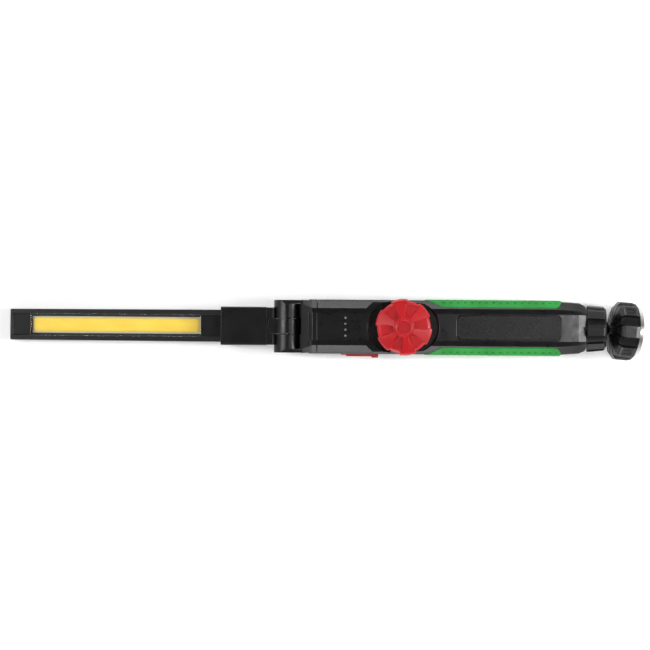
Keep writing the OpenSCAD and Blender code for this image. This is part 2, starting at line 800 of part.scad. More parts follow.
module base_screw() {
    head_a = stud_end + 1.05;
    color(steel) on_stud() difference() {
        union() {
            translate([0, 0, 12.4]) cylinder(h = head_a - 12.4, r = screw_r);
            translate([0, 0, head_a]) cylinder(h = 2.2, r = 3);
        }
        translate([0, 0, head_a + 1]) cylinder(h = 3, r = 1.4, $fn = 6);
    }
}

module magnet_housing() {
    bore_r = 3.4 + run;
    color(black) on_stud() difference() {
        rotate_extrude() polygon([
            [bore_r, 12.4], [8, 12.4], [15, 13.2], [22.1, 14.7], [base_r, rim_a[0]], [base_r, rim_a[1]],
            [base_r - 1, 31], [22.1, 31], [22.1, 24.2], [21, 24.2], [21, 17.8], [9.8, 17.8],
            [9.8, 24.2], [7.6, 24.2], [7.6, stud_end], [bore_r, stud_end]]);
        // notches between the rim's lobes
        for (i = [1 : lobes]) difference() {
            prism_z(rim_a[0] + 1.5, cut) intersection() {
                circle(base_r + 2);
                pie(base_turn + (i + 0.5) * 360 / lobes, 10.5, 60);
            }
            prism_z(0, cut + 1) circle(base_r - 1.2);
        }
    }
}

module magnet_ring() {
    color([0.35, 0.35, 0.37]) on_stud() difference() {
        translate([0, 0, 25]) cylinder(h = 8.8, r = 20.6);
        cylinder(h = cut, r = 9);
    }
}

module steel_cup() {
    color(steel) on_stud() rotate_extrude() polygon([[0, 33.9], [0, face_a], [21.4, face_a],
        [22, face_a - 0.6], [22, 24.3], [20.7, 24.3], [20.7, 33.9]]);
}

at_rest() head_frame();
at_rest() tip_block();
at_rest() root_block();
at_rest() led_board();
at_rest() phosphor_strip();
at_rest() head_lens();
at_rest() head_screws();
at_rest() swivel_sleeve();
at_rest() neck_knuckle();
at_rest() swivel_spindle();
at_rest() spindle_clip();
at_rest() swivel_washer();
at_rest() hinge_yoke();
at_rest() hinge_bolt();
at_rest() hinge_nut();
at_rest() friction_washers();
at_rest() front_shell();
at_rest() rear_shell();
at_rest() shell_screws();
at_rest() label_plate();
at_rest() grip_upper();
at_rest() grip_lower();
at_rest() indicator_board();
at_rest() indicator_lenses();
at_rest() control_board();
at_rest() dimmer_body();
at_rest() dimmer_nut();
at_rest() battery_cell();
at_rest() battery_tabs();
at_rest() battery_cradle();
at_rest() battery_leads();
at_rest() charge_socket();
at_rest() tail_socket();
at_rest() knob();
at_rest() knob_cap();
at_rest() dimmer_shaft();
at_rest() port_cover();
at_rest() collar_nut();
at_rest() pressure_ring();
at_rest() ball_stud();
at_rest() stud_washer();
at_rest() base_screw();
at_rest() magnet_housing();
at_rest() magnet_ring();
at_rest() steel_cup();
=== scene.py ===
"""The finished look of a folding inspection work light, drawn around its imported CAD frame.

Lengths are millimetres in one of two frames, and become metres in the world when a piece is made. HANDLE has
X along the light with the lamp tip at -X, and Z up through the knob. STUD has Z along the ball's stud, out of
the magnet's face. Both are worked out from the joints, and sizes come from the CAD nodes through span().
"""
import json
import math

import bmesh
import bpy
from mathutils import Matrix, Vector


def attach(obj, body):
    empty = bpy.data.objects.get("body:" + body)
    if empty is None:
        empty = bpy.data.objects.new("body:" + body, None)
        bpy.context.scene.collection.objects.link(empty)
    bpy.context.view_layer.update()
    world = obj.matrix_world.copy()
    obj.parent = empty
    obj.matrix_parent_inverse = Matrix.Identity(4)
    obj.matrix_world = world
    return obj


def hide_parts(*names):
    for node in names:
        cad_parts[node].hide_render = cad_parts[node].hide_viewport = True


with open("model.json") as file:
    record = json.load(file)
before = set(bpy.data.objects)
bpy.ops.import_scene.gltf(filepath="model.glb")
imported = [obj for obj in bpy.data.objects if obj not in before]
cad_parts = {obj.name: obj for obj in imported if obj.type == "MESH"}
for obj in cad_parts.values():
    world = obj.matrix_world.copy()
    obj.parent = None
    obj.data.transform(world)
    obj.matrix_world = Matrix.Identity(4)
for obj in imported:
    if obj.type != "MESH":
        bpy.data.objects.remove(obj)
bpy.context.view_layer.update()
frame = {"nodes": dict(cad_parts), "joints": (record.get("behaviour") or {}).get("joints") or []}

MM = 0.001
SHARP = math.radians(20)   # faces that meet at more than this keep a sharp edge between them
FAR = 30                   # past the handle's sides and faces, for the ends of cutters


# ---- frames ----

def millimetres(origin, x_axis, y_axis, z_axis):
    """The matrix from millimetres in a frame of its own to metres in the world."""
    matrix = Matrix((x_axis, y_axis, z_axis)).transposed().to_4x4()
    matrix.translation = origin
    return matrix @ Matrix.Scale(MM, 4)


JOINTS = {joint["name"]: joint for joint in frame["joints"]}
ALONG = Vector(JOINTS["head_swivel"]["axis"])
UP = -Vector(JOINTS["dimmer_turn"]["axis"])
SIDE = UP.cross(ALONG)
SWIVEL_X = -51.7           # the swivel's place in the handle's frame
HANDLE = millimetres(Vector(JOINTS["head_swivel"]["pos_m"]) - ALONG * SWIVEL_X * MM, ALONG, SIDE, UP)
STUD_OUT = Vector(JOINTS["base_spin"]["axis"])
TILT_AXIS = Vector(JOINTS["ball_tilt"]["axis"])
STUD = millimetres(Vector(JOINTS["base_spin"]["pos_m"]), TILT_AXIS.cross(STUD_OUT), TILT_AXIS, STUD_OUT)


def span(node, place=HANDLE):
    """Lowest and highest corner of a CAD node at rest, in millimetres in one of the frames."""
    inverse = place.inverted()
    points = [inverse @ vertex.co for vertex in frame["nodes"][node].data.vertices]
    return [Vector([pick(point[i] for point in points) for i in range(3)]) for pick in (min, max)]


def joint_place(name):
    """A joint's place in the handle's frame."""
    return HANDLE.inverted() @ Vector(JOINTS[name]["pos_m"])


def step_between(value, start, end):
    """0 before start, 1 after end, and smooth between them."""
    t = min(max((value - start) / (end - start), 0), 1)
    return t * t * (3 - 2 * t)


# ---- outlines: lists of points in a plane ----

def arc(centre, radius, start, sweep, steps):
    """Points along an arc, in degrees."""
    angles = [math.radians(start + sweep * i / steps) for i in range(steps + 1)]
    return [Vector((centre[0] + radius * math.cos(a), centre[1] + radius * math.sin(a))) for a in angles]


def offset(corners, distance):
    """A counter-clockwise outline with each edge moved inwards by a distance."""
    moved = []
    for i, corner in enumerate(corners):
        here = Vector(corner)
        before = (here - Vector(corners[i - 1])).normalized()
        after = (Vector(corners[(i + 1) % len(corners)]) - here).normalized()
        normals = [Vector((-edge.y, edge.x)) for edge in (before, after)]
        bisector = (normals[0] + normals[1]).normalized()
        moved.append(here + bisector * distance / max(bisector.dot(normals[0]), 0.2))
    return moved


def rounded(corners, radius, steps=4):
    """An outline with its corners rounded; radius is one number, or one for each corner."""
    radii = radius if isinstance(radius, (list, tuple)) else [radius] * len(corners)
    points = []
    for i, corner in enumerate(corners):
        here = Vector(corner)
        to_before = (Vector(corners[i - 1]) - here).normalized()
        to_after = (Vector(corners[(i + 1) % len(corners)]) - here).normalized()
        half = to_before.angle(to_after) / 2
        size = max(radii[i], 0.01)
        centre = here + (to_before + to_after).normalized() * size / math.sin(half)
        start = here + to_before * size / math.tan(half) - centre
        end = here + to_after * size / math.tan(half) - centre
        first = math.degrees(math.atan2(start.y, start.x))
        turn = (math.degrees(math.atan2(end.y, end.x)) - first + 180) % 360 - 180
        points += arc(centre, size, first, turn, steps)
    return points


def box_outline(low, high, radius, steps=4):
    """A rectangle with round corners, as a function of how far it is drawn in."""
    def outline(inset):
        corners = [(low[0] + inset, low[1] + inset), (high[0] - inset, low[1] + inset),
                   (high[0] - inset, high[1] - inset), (low[0] + inset, high[1] - inset)]
        return rounded(corners, max(radius - inset, 0.05), steps)
    return outline


def bar_outline(x0, x1, radius, steps):
    """A bar with half-round ends about two centres, as a function of how far it is drawn in."""
    def outline(inset):
        r = radius - inset
        return arc((x1, 0), r, -90, 180, steps) + arc((x0, 0), r, 90, 180, steps)
    return outline


def disc_outline(centre, radius, steps):
    """A circle, as a function of how far it is drawn in."""
    return lambda inset: arc(centre, radius - inset, 0, 360 - 360 / steps, steps - 1)


def corner_outline(corners, radius, steps=4):
    """Any counter-clockwise outline with round corners, as a function of how far it is drawn in."""
    return lambda inset: rounded(offset(corners, inset), radius, steps)


# ---- closed surfaces, as bmeshes ----

def skin(rings, around=False):
    """A closed surface through rings of points; around joins the last ring to the first."""
    surface = bmesh.new()
    rows = [[surface.verts.new(point) for point in ring] for ring in rings]
    pairs = list(zip(rows, rows[1:]))
    if around:
        pairs.append((rows[-1], rows[0]))
    else:
        surface.faces.new(reversed(rows[0]))
        surface.faces.new(rows[-1])
    for one, other in pairs:
        for i in range(len(one)):
            j = (i + 1) % len(one)
            surface.faces.new((one[i], one[j], other[j], other[i]))
    bmesh.ops.recalc_face_normals(surface, faces=surface.faces)
    return surface


def lay(axis, points, level):
    """Puts an outline at a level along an axis."""
    order = {"x": lambda p: (level, p[0], p[1]), "y": lambda p: (p[0], level, p[1]),
             "z": lambda p: (p[0], p[1], level)}[axis]
    return [Vector(order(point)) for point in points]


def slab(axis, outline, levels):
    """A slab along an axis; levels are pairs of a level and how far the outline is drawn in there."""
    return skin([lay(axis, outline(inset), level) for level, inset in levels])


def prism(axis, points, low, high):
    """A straight slab of a plain outline."""
    return skin([lay(axis, points, level) for level in (low, high)])


def soft(low, high, edge, steps=3):
    """The levels of a slab with quarter-round edges."""
    turns = [math.pi / 2 * i / steps for i in range(steps + 1)]
    start = [(low + edge * (1 - math.cos(a)), edge * (1 - math.sin(a))) for a in turns]
    return start + [(high - (level - low), inset) for level, inset in reversed(start)]


def sunk(floor, rim, fillet, lip, steps=4):
    """The levels of a pocket's cutter: a filleted floor, a straight wall and a rounded lip."""
    turns = [math.pi / 2 * i / steps for i in range(steps + 1)]
    levels = [(floor + fillet * (1 - math.cos(a)), fillet * (1 - math.sin(a))) for a in turns]
    levels += [(rim - lip + lip * math.sin(a), -lip * (1 - math.cos(a))) for a in turns[:-1]]
    return levels + [(rim + 0.02, -lip), (rim + 20, -lip)]


def block(low, high, radius, edge, steps=4):
    """A box between two corners, with round corners in plan and soft edges."""
    return slab("z", box_outline(low, high, radius, steps), soft(low[2], high[2], edge))


def even_angles(steps):
    """Angles all round, as directions of a round part: an angle, a mask of 1 and a scale of 1."""
    return [(360 * i / steps, 1.0, 1.0) for i in range(steps)]


def lobed_angles(count, first, half, ramp, between=4):
    """Directions round a lobed part: each has its angle, a mask that is 1 on a lobe and 0 between lobes, and
    a scale that makes the lobe's face flat."""
    period = 360 / count
    flat = half - ramp
    middle_scale = math.cos(math.radians(flat))
    directions = []
    for i in range(count):
        centre = first + i * period
        for k in range(between + 1):
            turn = flat * (2 * k / between - 1)
            directions.append((centre + turn, 1.0, middle_scale / math.cos(math.radians(turn))))
        for k in range(between + 1):
            directions.append((centre + half + (period - 2 * half) * k / between, 0.0, 1.0))
    return directions


def turned(axis, profile, directions, centre=(0, 0), around=False):
    """A turned part. The profile's points are (radius, level), or (radius, level, relief) where relief is how
    much smaller the radius is between the lobes."""
    rings = []
    for point in profile:
        relief = point[2] if len(point) > 2 else 0.0
        circle = []
        for angle, mask, scale in directions:
            r = point[0] * (scale if relief else 1) - relief * (1 - mask)
            turn = math.radians(angle)
            circle.append((centre[0] + r * math.cos(turn), centre[1] + r * math.sin(turn)))
        rings.append(lay(axis, circle, point[1]))
    return skin(rings, around)


def rod(axis, centre, radius, low, high, edge=0.0, steps=40):
    """A straight rod, with soft ends if edge is given."""
    levels = soft(low, high, edge) if edge else [(low, 0), (high, 0)]
    return slab(axis, disc_outline(centre, radius, steps), levels)


def loose(shape):
    """An object that holds a surface while it is worked on."""
    mesh = bpy.data.meshes.new("shape")
    shape.to_mesh(mesh)
    shape.free()
    holder = bpy.data.objects.new("shape", mesh)
    bpy.context.scene.collection.objects.link(holder)
    return holder


def settle(piece):
    """Gives an object what its modifiers make of it, as its own mesh."""
    graph = bpy.context.evaluated_depsgraph_get()
    result = bpy.data.meshes.new_from_object(piece.evaluated_get(graph))
    old = piece.data
    piece.modifiers.clear()
    piece.data = result
    bpy.data.meshes.remove(old)


def combine(shape, operation, others):
    """A surface joined with, cut by or met with others, as a clean new surface."""
    holder = loose(shape)
    tools = [loose(other) for other in others]
    for tool in tools:
        step = holder.modifiers.new("step", "BOOLEAN")
        step.operation = operation
        step.solver = "EXACT"
        step.object = tool
    settle(holder)
    result = bmesh.new()
    result.from_mesh(holder.data)
    bmesh.ops.remove_doubles(result, verts=result.verts, dist=0.003)
    bmesh.ops.dissolve_degenerate(result, edges=result.edges, dist=0.003)
    for used in [holder] + tools:
        mesh = used.data
        bpy.data.objects.remove(used)
        bpy.data.meshes.remove(mesh)
    return result


def cut(shape, *others):
    return combine(shape, "DIFFERENCE", others)


def joined(shape, *others):
    return combine(shape, "UNION", others)


def met(shape, *others):
    return combine(shape, "INTERSECT", others)


def mirrored(shape):
    """A copy of a surface on the other side of the handle."""
    twin = shape.copy()
    bmesh.ops.scale(twin, vec=(1, -1, 1), verts=twin.verts)
    bmesh.ops.reverse_faces(twin, faces=twin.faces)
    return twin


def make(name, shape, body, slot, material=None, place=HANDLE, edge=0.0):
    """Makes a surface the drawn piece of a CAD node: softens its edges, shades it, and rides it on its body.
    The material is the slot's own unless another one is named."""
    piece = loose(shape)
    piece.name = name + "_drawn"
    if edge:
        bevel = piece.modifiers.new("edges", "BEVEL")
        bevel.width = edge
        bevel.segments = 2
        bevel.limit_method = "ANGLE"
        bevel.angle_limit = SHARP
        bevel.use_clamp_overlap = False
        settle(piece)
    piece.data.shade_smooth()
    piece.data.set_sharp_from_angle(angle=SHARP)
    normals = piece.modifiers.new("normals", "WEIGHTED_NORMAL")
    normals.keep_sharp = True
    settle(piece)
    piece.data.name = piece.name
    piece.data.transform(place)
    piece.data.materials.clear()
    piece.data.materials.append(MATERIALS[material or slot])
    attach(piece, body)
    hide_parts(name)


# ---- materials ----

class Nodes:
    """A material's node tree, built a node at a time."""

    def __init__(self, name):
        self.material = bpy.data.materials.new(name)
        self.material.use_nodes = True
        self.tree = self.material.node_tree
        self.shader = self.tree.nodes["Principled BSDF"]
        self.coordinates = self.add("ShaderNodeTexCoord").outputs["Object"]

    def add(self, kind, sockets=None, **settings):
        """A node with its settings, and what its sockets are fed from or set to."""
        node = self.tree.nodes.new(kind)
        for key, value in settings.items():
            setattr(node, key, value)
        for socket, value in (sockets or {}).items():
            self.feed(node.inputs[socket], value)
        return node

    def feed(self, socket, value):
        """Feeds a socket from a node's output, or gives it a value."""
        if isinstance(value, bpy.types.NodeSocket):
            self.tree.links.new(value, socket)
        else:
            socket.default_value = value

    def put(self, socket, value):
        """Feeds a socket of the shader, or gives it a value."""
        self.feed(self.shader.inputs[socket], value)

    def noise(self, size, detail, stretch=(1, 1, 1)):
        """Noise with features of a size in millimetres, stretched along the axes."""
        scale = [1 / factor for factor in stretch]
        mapping = self.add("ShaderNodeMapping", {"Scale": scale, "Vector": self.coordinates})
        sockets = {"Scale": 1 / (size * MM), "Detail": detail, "Vector": mapping.outputs["Vector"]}
        return self.add("ShaderNodeTexNoise", sockets).outputs["Fac"]

    def ranged(self, value, low, high, start=0.3, end=0.7):
        """A value from start to end, as a value from low to high."""
        sockets = {"From Min": start, "From Max": end, "To Min": low, "To Max": high, "Value": value}
        return self.add("ShaderNodeMapRange", sockets).outputs["Result"]

    def blend(self, factor, one, other):
        """A mix of two colours."""
        sockets = {"A": (*one, 1), "B": (*other, 1), "Factor": factor}
        return self.add("ShaderNodeMix", sockets, data_type="RGBA").outputs["Result"]

    def bump(self, height, depth):
        """Relief of a depth in millimetres."""
        sockets = {"Strength": 1.0, "Distance": depth * MM, "Height": height}
        self.put("Normal", self.add("ShaderNodeBump", sockets).outputs["Normal"])


def tone(colour, factor):
    return tuple(min(channel * factor, 1.0) for channel in colour)


def moulded(name, colour, roughness, grain=0.5, depth=0.03, drift=0.25, specular=0.5):
    """Moulded plastic or rubber: a fine sparked grain, with tone and gloss that drift slowly over it."""
    nodes = Nodes(name)
    slow = nodes.ranged(nodes.noise(18, 3), 0, 1)
    nodes.put("Base Color", nodes.blend(slow, tone(colour, 1 - drift), tone(colour, 1 + drift)))
    nodes.put("Roughness", nodes.ranged(nodes.noise(7, 4), roughness - 0.05, roughness + 0.06))
    nodes.put("Specular IOR Level", specular)
    nodes.bump(nodes.noise(grain, 2), depth)
    return nodes.material


def speckled(name, dark, light, roughness):
    """A coarse sparked plate: light grains in a dark ground."""
    nodes = Nodes(name)
    grain = nodes.noise(0.9, 1)
    nodes.put("Base Color", nodes.blend(nodes.ranged(grain, 0, 1, 0.42, 0.66), dark, light))
    nodes.put("Roughness", nodes.ranged(nodes.noise(9, 3), roughness - 0.06, roughness + 0.06))
    nodes.put("Specular IOR Level", 0.25)
    nodes.bump(grain, 0.12)
    return nodes.material


def metal(name, colour, roughness, stretch=(1, 1, 1), metallic=1.0, depth=0.008):
    """Metal with fine brushing along the stretch, and a slow drift of gloss."""
    nodes = Nodes(name)
    streaks = nodes.noise(0.25, 2, stretch)
    slow = nodes.ranged(nodes.noise(12, 3), 0, 1)
    nodes.put("Base Color", nodes.blend(slow, tone(colour, 0.86), tone(colour, 1.1)))
    nodes.put("Roughness", nodes.ranged(streaks, roughness - 0.06, roughness + 0.1))
    nodes.put("Metallic", metallic)
    nodes.bump(streaks, depth)
    return nodes.material


def phosphor(name):
    """Phosphor gel over rows of LED chips: warm yellow with a faint mottle, and a faint painted glow though
    the chips are not lit.
    """
    nodes = Nodes(name)
    mottle = nodes.ranged(nodes.noise(6, 3, (3, 1, 1)), 0, 1)
    nodes.put("Base Color", nodes.blend(mottle, (0.78, 0.50, 0.030), (0.82, 0.58, 0.055)))
    nodes.put("Roughness", nodes.ranged(nodes.noise(3, 2), 0.36, 0.5))
    # painted glow: a faint emission that brightens the phosphor, which is not lit
    nodes.put("Emission Color", (1.0, 0.62, 0.10, 1))
    nodes.put("Emission Strength", 0.05)
    nodes.bump(nodes.noise(1.1, 1), 0.05)
    return nodes.material


def clear(name):
    """Clear plastic that lets lamps' light through to what is behind it."""
    nodes = Nodes(name)
    nodes.put("Roughness", nodes.ranged(nodes.noise(9, 3), 0.03, 0.08))
    nodes.put("Base Color", (0.96, 0.98, 1.0, 1))
    nodes.put("Transmission Weight", 1.0)
    nodes.put("IOR", 1.49)
    shadow = nodes.add("ShaderNodeLightPath").outputs["Is Shadow Ray"]
    through = nodes.add("ShaderNodeBsdfTransparent").outputs["BSDF"]
    mix = nodes.add("ShaderNodeMixShader", {0: shadow, 1: nodes.shader.outputs["BSDF"], 2: through})
    output = nodes.tree.nodes["Material Output"]
    nodes.feed(output.inputs["Surface"], mix.outputs["Shader"])
    return nodes.material


# colour, roughness, size and depth of the grain, drift of the tone, and specular level
PLASTICS = {
    "black_plastic": ((0.004, 0.004, 0.0044), 0.32, 0.8, 0.015, 0.25, 0.36),
    "shell_plastic": ((0.005, 0.005, 0.0055), 0.30, 0.8, 0.002, 0.25, 0.36),
    "ball_plastic": ((0.006, 0.006, 0.0065), 0.28, 0.6, 0.01),
    "white_board": ((0.50, 0.46, 0.32), 0.4, 0.6, 0.01, 0.05),
    "light_pipe": ((0.22, 0.23, 0.22), 0.3, 0.6, 0.01, 0.05),
    "nylon": ((0.68, 0.66, 0.58), 0.5, 0.6, 0.01, 0.08),
    "green_rubber": ((0.012, 0.235, 0.030), 0.5, 0.4, 0.03, 0.16, 0.22),
    "red_plastic": ((0.46, 0.010, 0.014), 0.33, 0.5, 0.012, 0.12, 0.36),
    "red_rubber": ((0.34, 0.013, 0.015), 0.52, 0.4, 0.03, 0.14),
    "circuit_board": ((0.01, 0.11, 0.04), 0.4, 1.2, 0.03, 0.2),
    "component_grey": ((0.08, 0.08, 0.085), 0.45, 0.5, 0.02, 0.15),
    "battery_wrap": ((0.02, 0.09, 0.34), 0.3, 0.8, 0.01, 0.1),
    "lead_insulation": ((0.42, 0.02, 0.02), 0.45, 0.5, 0.01, 0.1),
    "ferrite": ((0.035, 0.035, 0.037), 0.55, 0.6, 0.05, 0.2),
}
MATERIALS = {name: moulded(name, *values) for name, values in PLASTICS.items()}
MATERIALS["dark_aluminium"] = metal("dark_aluminium", (0.010, 0.010, 0.0095), 0.36, (40, 1, 1), 0.2, 0.01)
MATERIALS["plated_steel"] = metal("plated_steel", (0.68, 0.68, 0.66), 0.26)
MATERIALS["label_grey"] = speckled("label_grey", (0.004, 0.004, 0.0042), (0.019, 0.019, 0.0195), 0.42)
MATERIALS["yellow_phosphor"] = phosphor("yellow_phosphor")
MATERIALS["clear_window"] = clear("clear_window")

# CAD nodes that keep their CAD shape, by material
KEPT = {
    "plated_steel": ["head_screws", "swivel_spindle", "spindle_clip", "hinge_bolt", "hinge_nut",
                     "friction_washers", "shell_screws", "dimmer_nut", "battery_tabs", "dimmer_shaft",
                     "stud_washer", "base_screw"],
    # the swivel washer is nylon in the CAD but takes the ball's black plastic: painted shade for the dark gap
    # between the sleeve and the neck's flange
    "ball_plastic": ["swivel_washer"],
    "nylon": ["pressure_ring"],
    "circuit_board": ["indicator_board", "control_board"],
    "component_grey": ["dimmer_body", "charge_socket"],
    "battery_wrap": ["battery_cell"],
    "black_plastic": ["battery_cradle", "tail_socket"],
    "lead_insulation": ["battery_leads"],
    "ferrite": ["magnet_ring"],
}


def finish_kept_nodes():
    for slot, nodes in KEPT.items():
        for node in nodes:
            for material_slot in frame["nodes"][node].material_slots:
                material_slot.material = MATERIALS[slot]


# ---- lamp head ----

def make_head():
    low, high = span("head_frame")
    lens_low, lens_high = span("head_lens")
    board_low, board_high = span("led_board")
    tray = lens_high.y + 0.12
    tip_half = high.y - 0.6         # the head is a little narrower at its tip
    rim = 2.3                       # frame left round the tray at the tip
    ledge = 1.3                     # ledge that the window rests on
    groove_half, groove_depth = 0.5, 1.0
    groove_rows = (2.2, 6.6, 11.0)  # distances of the cooling grooves from the head's middle line
    screws = [(x, y) for x in (-260, -99) for y in (-6, 6)]
    seat_r, bore_r = 2.4, 1.3       # of the screws from the back
    corners = [(low.x, -tip_half), (high.x, -high.y), (high.x, high.y), (low.x, tip_half)]
    outer = slab("z", corner_outline(corners, 0.8), soft(low.z, high.z, 0.9, 4))
    upper = slab("z", box_outline((low.x + rim, -tray), (high.x + 5, tray), 0.5),
                 sunk(lens_low.z, high.z, 0.1, 0.35))
    lower = slab("z", box_outline((low.x + rim, ledge - tray), (high.x + 5, tray - ledge), 0.5),
                 [(board_low.z, 0), (high.z + 4, 0)])
    groove_ends = [(low.z - 3, -0.3), (low.z - 0.05, -0.3), (low.z + 0.3, 0), (low.z + groove_depth, 0)]
    grooves = []
    for y in [side * row for row in groove_rows for side in (-1, 1)]:
        outline = box_outline((lens_low.x, y - groove_half), (lens_high.x, y + groove_half), 0.45)
        grooves.append(slab("z", outline, groove_ends))
    grooves += [rod("z", spot, seat_r, low.z - 3, low.z + 1.5) for spot in screws]
    grooves += [rod("z", spot, bore_r, low.z + 1, board_low.z + 0.1) for spot in screws]
    make("head_frame", cut(outer, upper, lower, *grooves), "lamp_head", "dark_aluminium")

    for name, radius in (("tip_block", 0.8), ("root_block", 0.6)):
        start, end = span(name)
        seat = slab("z", box_outline((start.x, ledge - tray), (end.x, tray - ledge), 0.4),
                    [(start.z, 0), (lens_low.z + 0.02, 0)])
        plate = block((*start.xy, lens_low.z), end, radius, 0.45)
        make(name, joined(plate, seat), "lamp_head", "black_plastic")

    make("head_lens", block(lens_low, lens_high, 1.6, 0.35, 6), "lamp_head", "clear_window")
    make("led_board", block(board_low, board_high, 0.5, 0.15), "lamp_head", "white_board")
    start, end = span("phosphor_strip")
    crown = [(start.z, 0), (start.z + 0.35, 0.05), (start.z + 0.6, 0.35), (start.z + 0.74, 1.0), (end.z, 2.2)]
    strip = slab("z", box_outline(start.xy, end.xy, 2.4, 8), crown)
    make("phosphor_strip", strip, "lamp_head", "yellow_phosphor")


def make_sleeve():
    low, high = span("swivel_sleeve")
    head_low, head_high = span("head_frame")
    clear_by = 0.1
    spindle = span("swivel_spindle")[1].z + 0.05
    chamber_r = 7.4                  # room for the spindle's end and its clip
    sleeve = slab("x", box_outline(low.yz, high.yz, 1.6), soft(low.x, high.x, 0.6))
    gap = Vector((clear_by, clear_by))
    pocket = slab("x", box_outline(head_low.yz - gap, head_high.yz + gap, 0.6),
                  [(low.x - 4, -0.5), (low.x, -0.4), (low.x + 0.4, 0), (head_high.x + clear_by, 0)])
    bearing = rod("x", (0, 0), spindle, head_high.x - 1, high.x + 1)
    chamber = rod("x", (0, 0), chamber_r, head_high.x - 1, span("spindle_clip")[1].x + 0.55)
    make("swivel_sleeve", cut(sleeve, pocket, bearing, chamber), "lamp_head", "black_plastic")


# ---- hinge ----

PIN_R = 2.55


def make_neck():
    low, high = span("neck_knuckle")
    hinge = joint_place("head_fold")
    barrel = high.z
    knuckle = span("friction_washers")[1].y - 0.7
    washer = span("swivel_washer")
    swept = barrel + 0.3                 # radius about the hinge that the yoke turns in
    spindle_r = 5.0
    lip, bevel = hinge.x - 9.4, low.x + 4.1
    plate = slab("x", box_outline((low.y, -7.4), (high.y, 7.0), 1.2), soft(low.x, lip, 0.2))
    middle = slab("x", box_outline((-knuckle, -7.4), (knuckle, 7.4), 0.5), soft(low.x + 1.1, hinge.x, 0.4))
    slope = prism("y", [(bevel, 7.6), (lip + 2, 3.4), (lip + 2, 12), (bevel - 0.5, 12)], -20, 20)
    grooves = [slab("x", box_outline((y - 0.3, 5.9), (y + 0.3, 9), 0.05), [(low.x + 1, 0), (lip + 1, 0)])
               for y in (-knuckle - 0.35, knuckle + 0.35)]
    flange = cut(plate, rod("y", (hinge.x, 0), swept, -20, 20, steps=96), slope, *grooves)
    eye = rod("y", (hinge.x, 0), barrel, -knuckle, knuckle, 0.5, 96)
    pin = rod("y", (hinge.x, 0), PIN_R, -FAR, FAR)
    spindle = rod("x", (0, 0), spindle_r, low.x - 1, span("swivel_spindle")[1].x + 0.1)
    seat = rod("x", (0, 0), washer[1].y + 0.1, low.x - 5, washer[1].x)
    make("neck_knuckle", cut(joined(flange, middle, eye), pin, spindle, seat), "neck", "black_plastic")


FLAT = 11.6                # half width of the handle's flat front
BROW = (15.8, 18.7)        # where the gentle slope beside it ends
SIDE_Z = 11.5              # half height of the flat sides
FILLETS = [4.0, 1.4, 2.0]  # rounding of those corners, from the side to the front


def half_section(half_width, top, brow, side, *below):
    """Corners of the front half of a handle section in (y, z), counter-clockwise from the +Y side."""
    right = [*below, (half_width, side), brow, (FLAT, top)]
    return right + [(-y, z) for y, z in reversed(right)]


def whole_section(half_width, top, brow, side):
    """Corners of a whole handle section, counter-clockwise."""
    upper = half_section(half_width, top, brow, side)
    return upper + [(-y, -z) for y, z in upper]


def make_yoke():
    low, high = span("hinge_yoke")
    hinge = joint_place("head_fold")
    seam = span("front_shell")[0].x
    barrel = hinge.x - low.x
    washers = span("friction_washers")
    knuckle = washers[1].y
    rim = knuckle - 0.55
    face, waist = -22.5, -16.1
    narrow = 22.4
    arm_brow = 19.4              # where the cheek's slope starts
    head_r, nut_r = 4.7, 5.1     # seats of the hinge bolt's head and nut
    # stations along the yoke: x, half width, height, gentle slope's end, side's height, draw-in
    full = (high.y, high.z, BROW, SIDE_Z)
    stations = [
        (face, narrow, 10.6, (18.8, 10.6), 6.8, 0),
        (face + 0.3, narrow, 11.0, (19.2, 11.0), 7.0, 0),
        (waist, narrow, 16.6, (17.0, 15.9), 10.5, 0),
        (-15.9, narrow, 16.3, (17.2, 15.7), 10.4, 0),
        (waist + 0.4, high.y, 16.9, (16.9, 16.2), 10.6, 0),
        (-13.2, high.y, 19.8, (15.9, 18.5), 11.4, 0),
        (-12.7, *full, 0),
        (seam - 0.55, *full, 0),
        (seam - 0.2, *full, 0.15),
        (seam - 0.05, *full, 0.5),
    ]
    radii = [radius * 0.6 for radius in FILLETS + FILLETS[::-1]] * 2
    rings = []
    for x, half, top, brow, side, inset in stations:
        corners = offset(whole_section(half, top, brow, side), inset)
        rings.append(lay("x", rounded(corners, radii), x))
    body = skin(rings)
    # section of an arm: the outer knuckle's length, then the cheek with its slope
    limit = [(rim, -barrel - 0.5), (arm_brow, -barrel - 0.5), (arm_brow, -barrel), (narrow, -9.6),
             (narrow, 9.6), (arm_brow, barrel), (arm_brow, barrel + 0.5), (rim, barrel + 0.5)]
    arm = joined(rod("y", (hinge.x, 0), barrel, rim, narrow, 0.5, 96),
                 block((hinge.x, arm_brow, -barrel), (face + 1, narrow, barrel), 0.05, 0.05),
                 block((hinge.x, rim + 0.1, -8), (face + 1, arm_brow + 0.2, 3), 0.05, 0.05))
    arm = met(arm, prism("x", limit, low.x - 1, face + 2))
    arm = cut(arm, rod("y", (hinge.x, 0), washers[1].z + 0.1, rim - 1, knuckle))
    lip = cut(block((hinge.x + 7.6, -knuckle - 0.5, -8), (face + 1, knuckle + 0.5, -0.5), 0.1, 0.05),
              rod("y", (hinge.x, 0), barrel + 0.3, -20, 20, steps=96))
    section = whole_section(*full)
    spigot = slab("x", lambda inset: offset(section, 3.1 + inset),
                  [(seam - 2, 0), (high.x - 0.5, 0), (high.x, 0.5)])
    hollow = prism("x", offset(section, 5.6), seam - 1, high.x + 1)
    holes = [rod("y", (hinge.x, 0), PIN_R, -FAR, FAR), rod("y", (hinge.x, 0), head_r, -FAR, -20.4),
             rod("y", (hinge.x, 0), nut_r, 18.8, FAR)]
    yoke = joined(body, mirrored(arm), arm, spigot, lip)
    make("hinge_yoke", cut(yoke, hollow, *holes), "handle", "black_plastic", edge=0.3)


# ---- handle shells ----

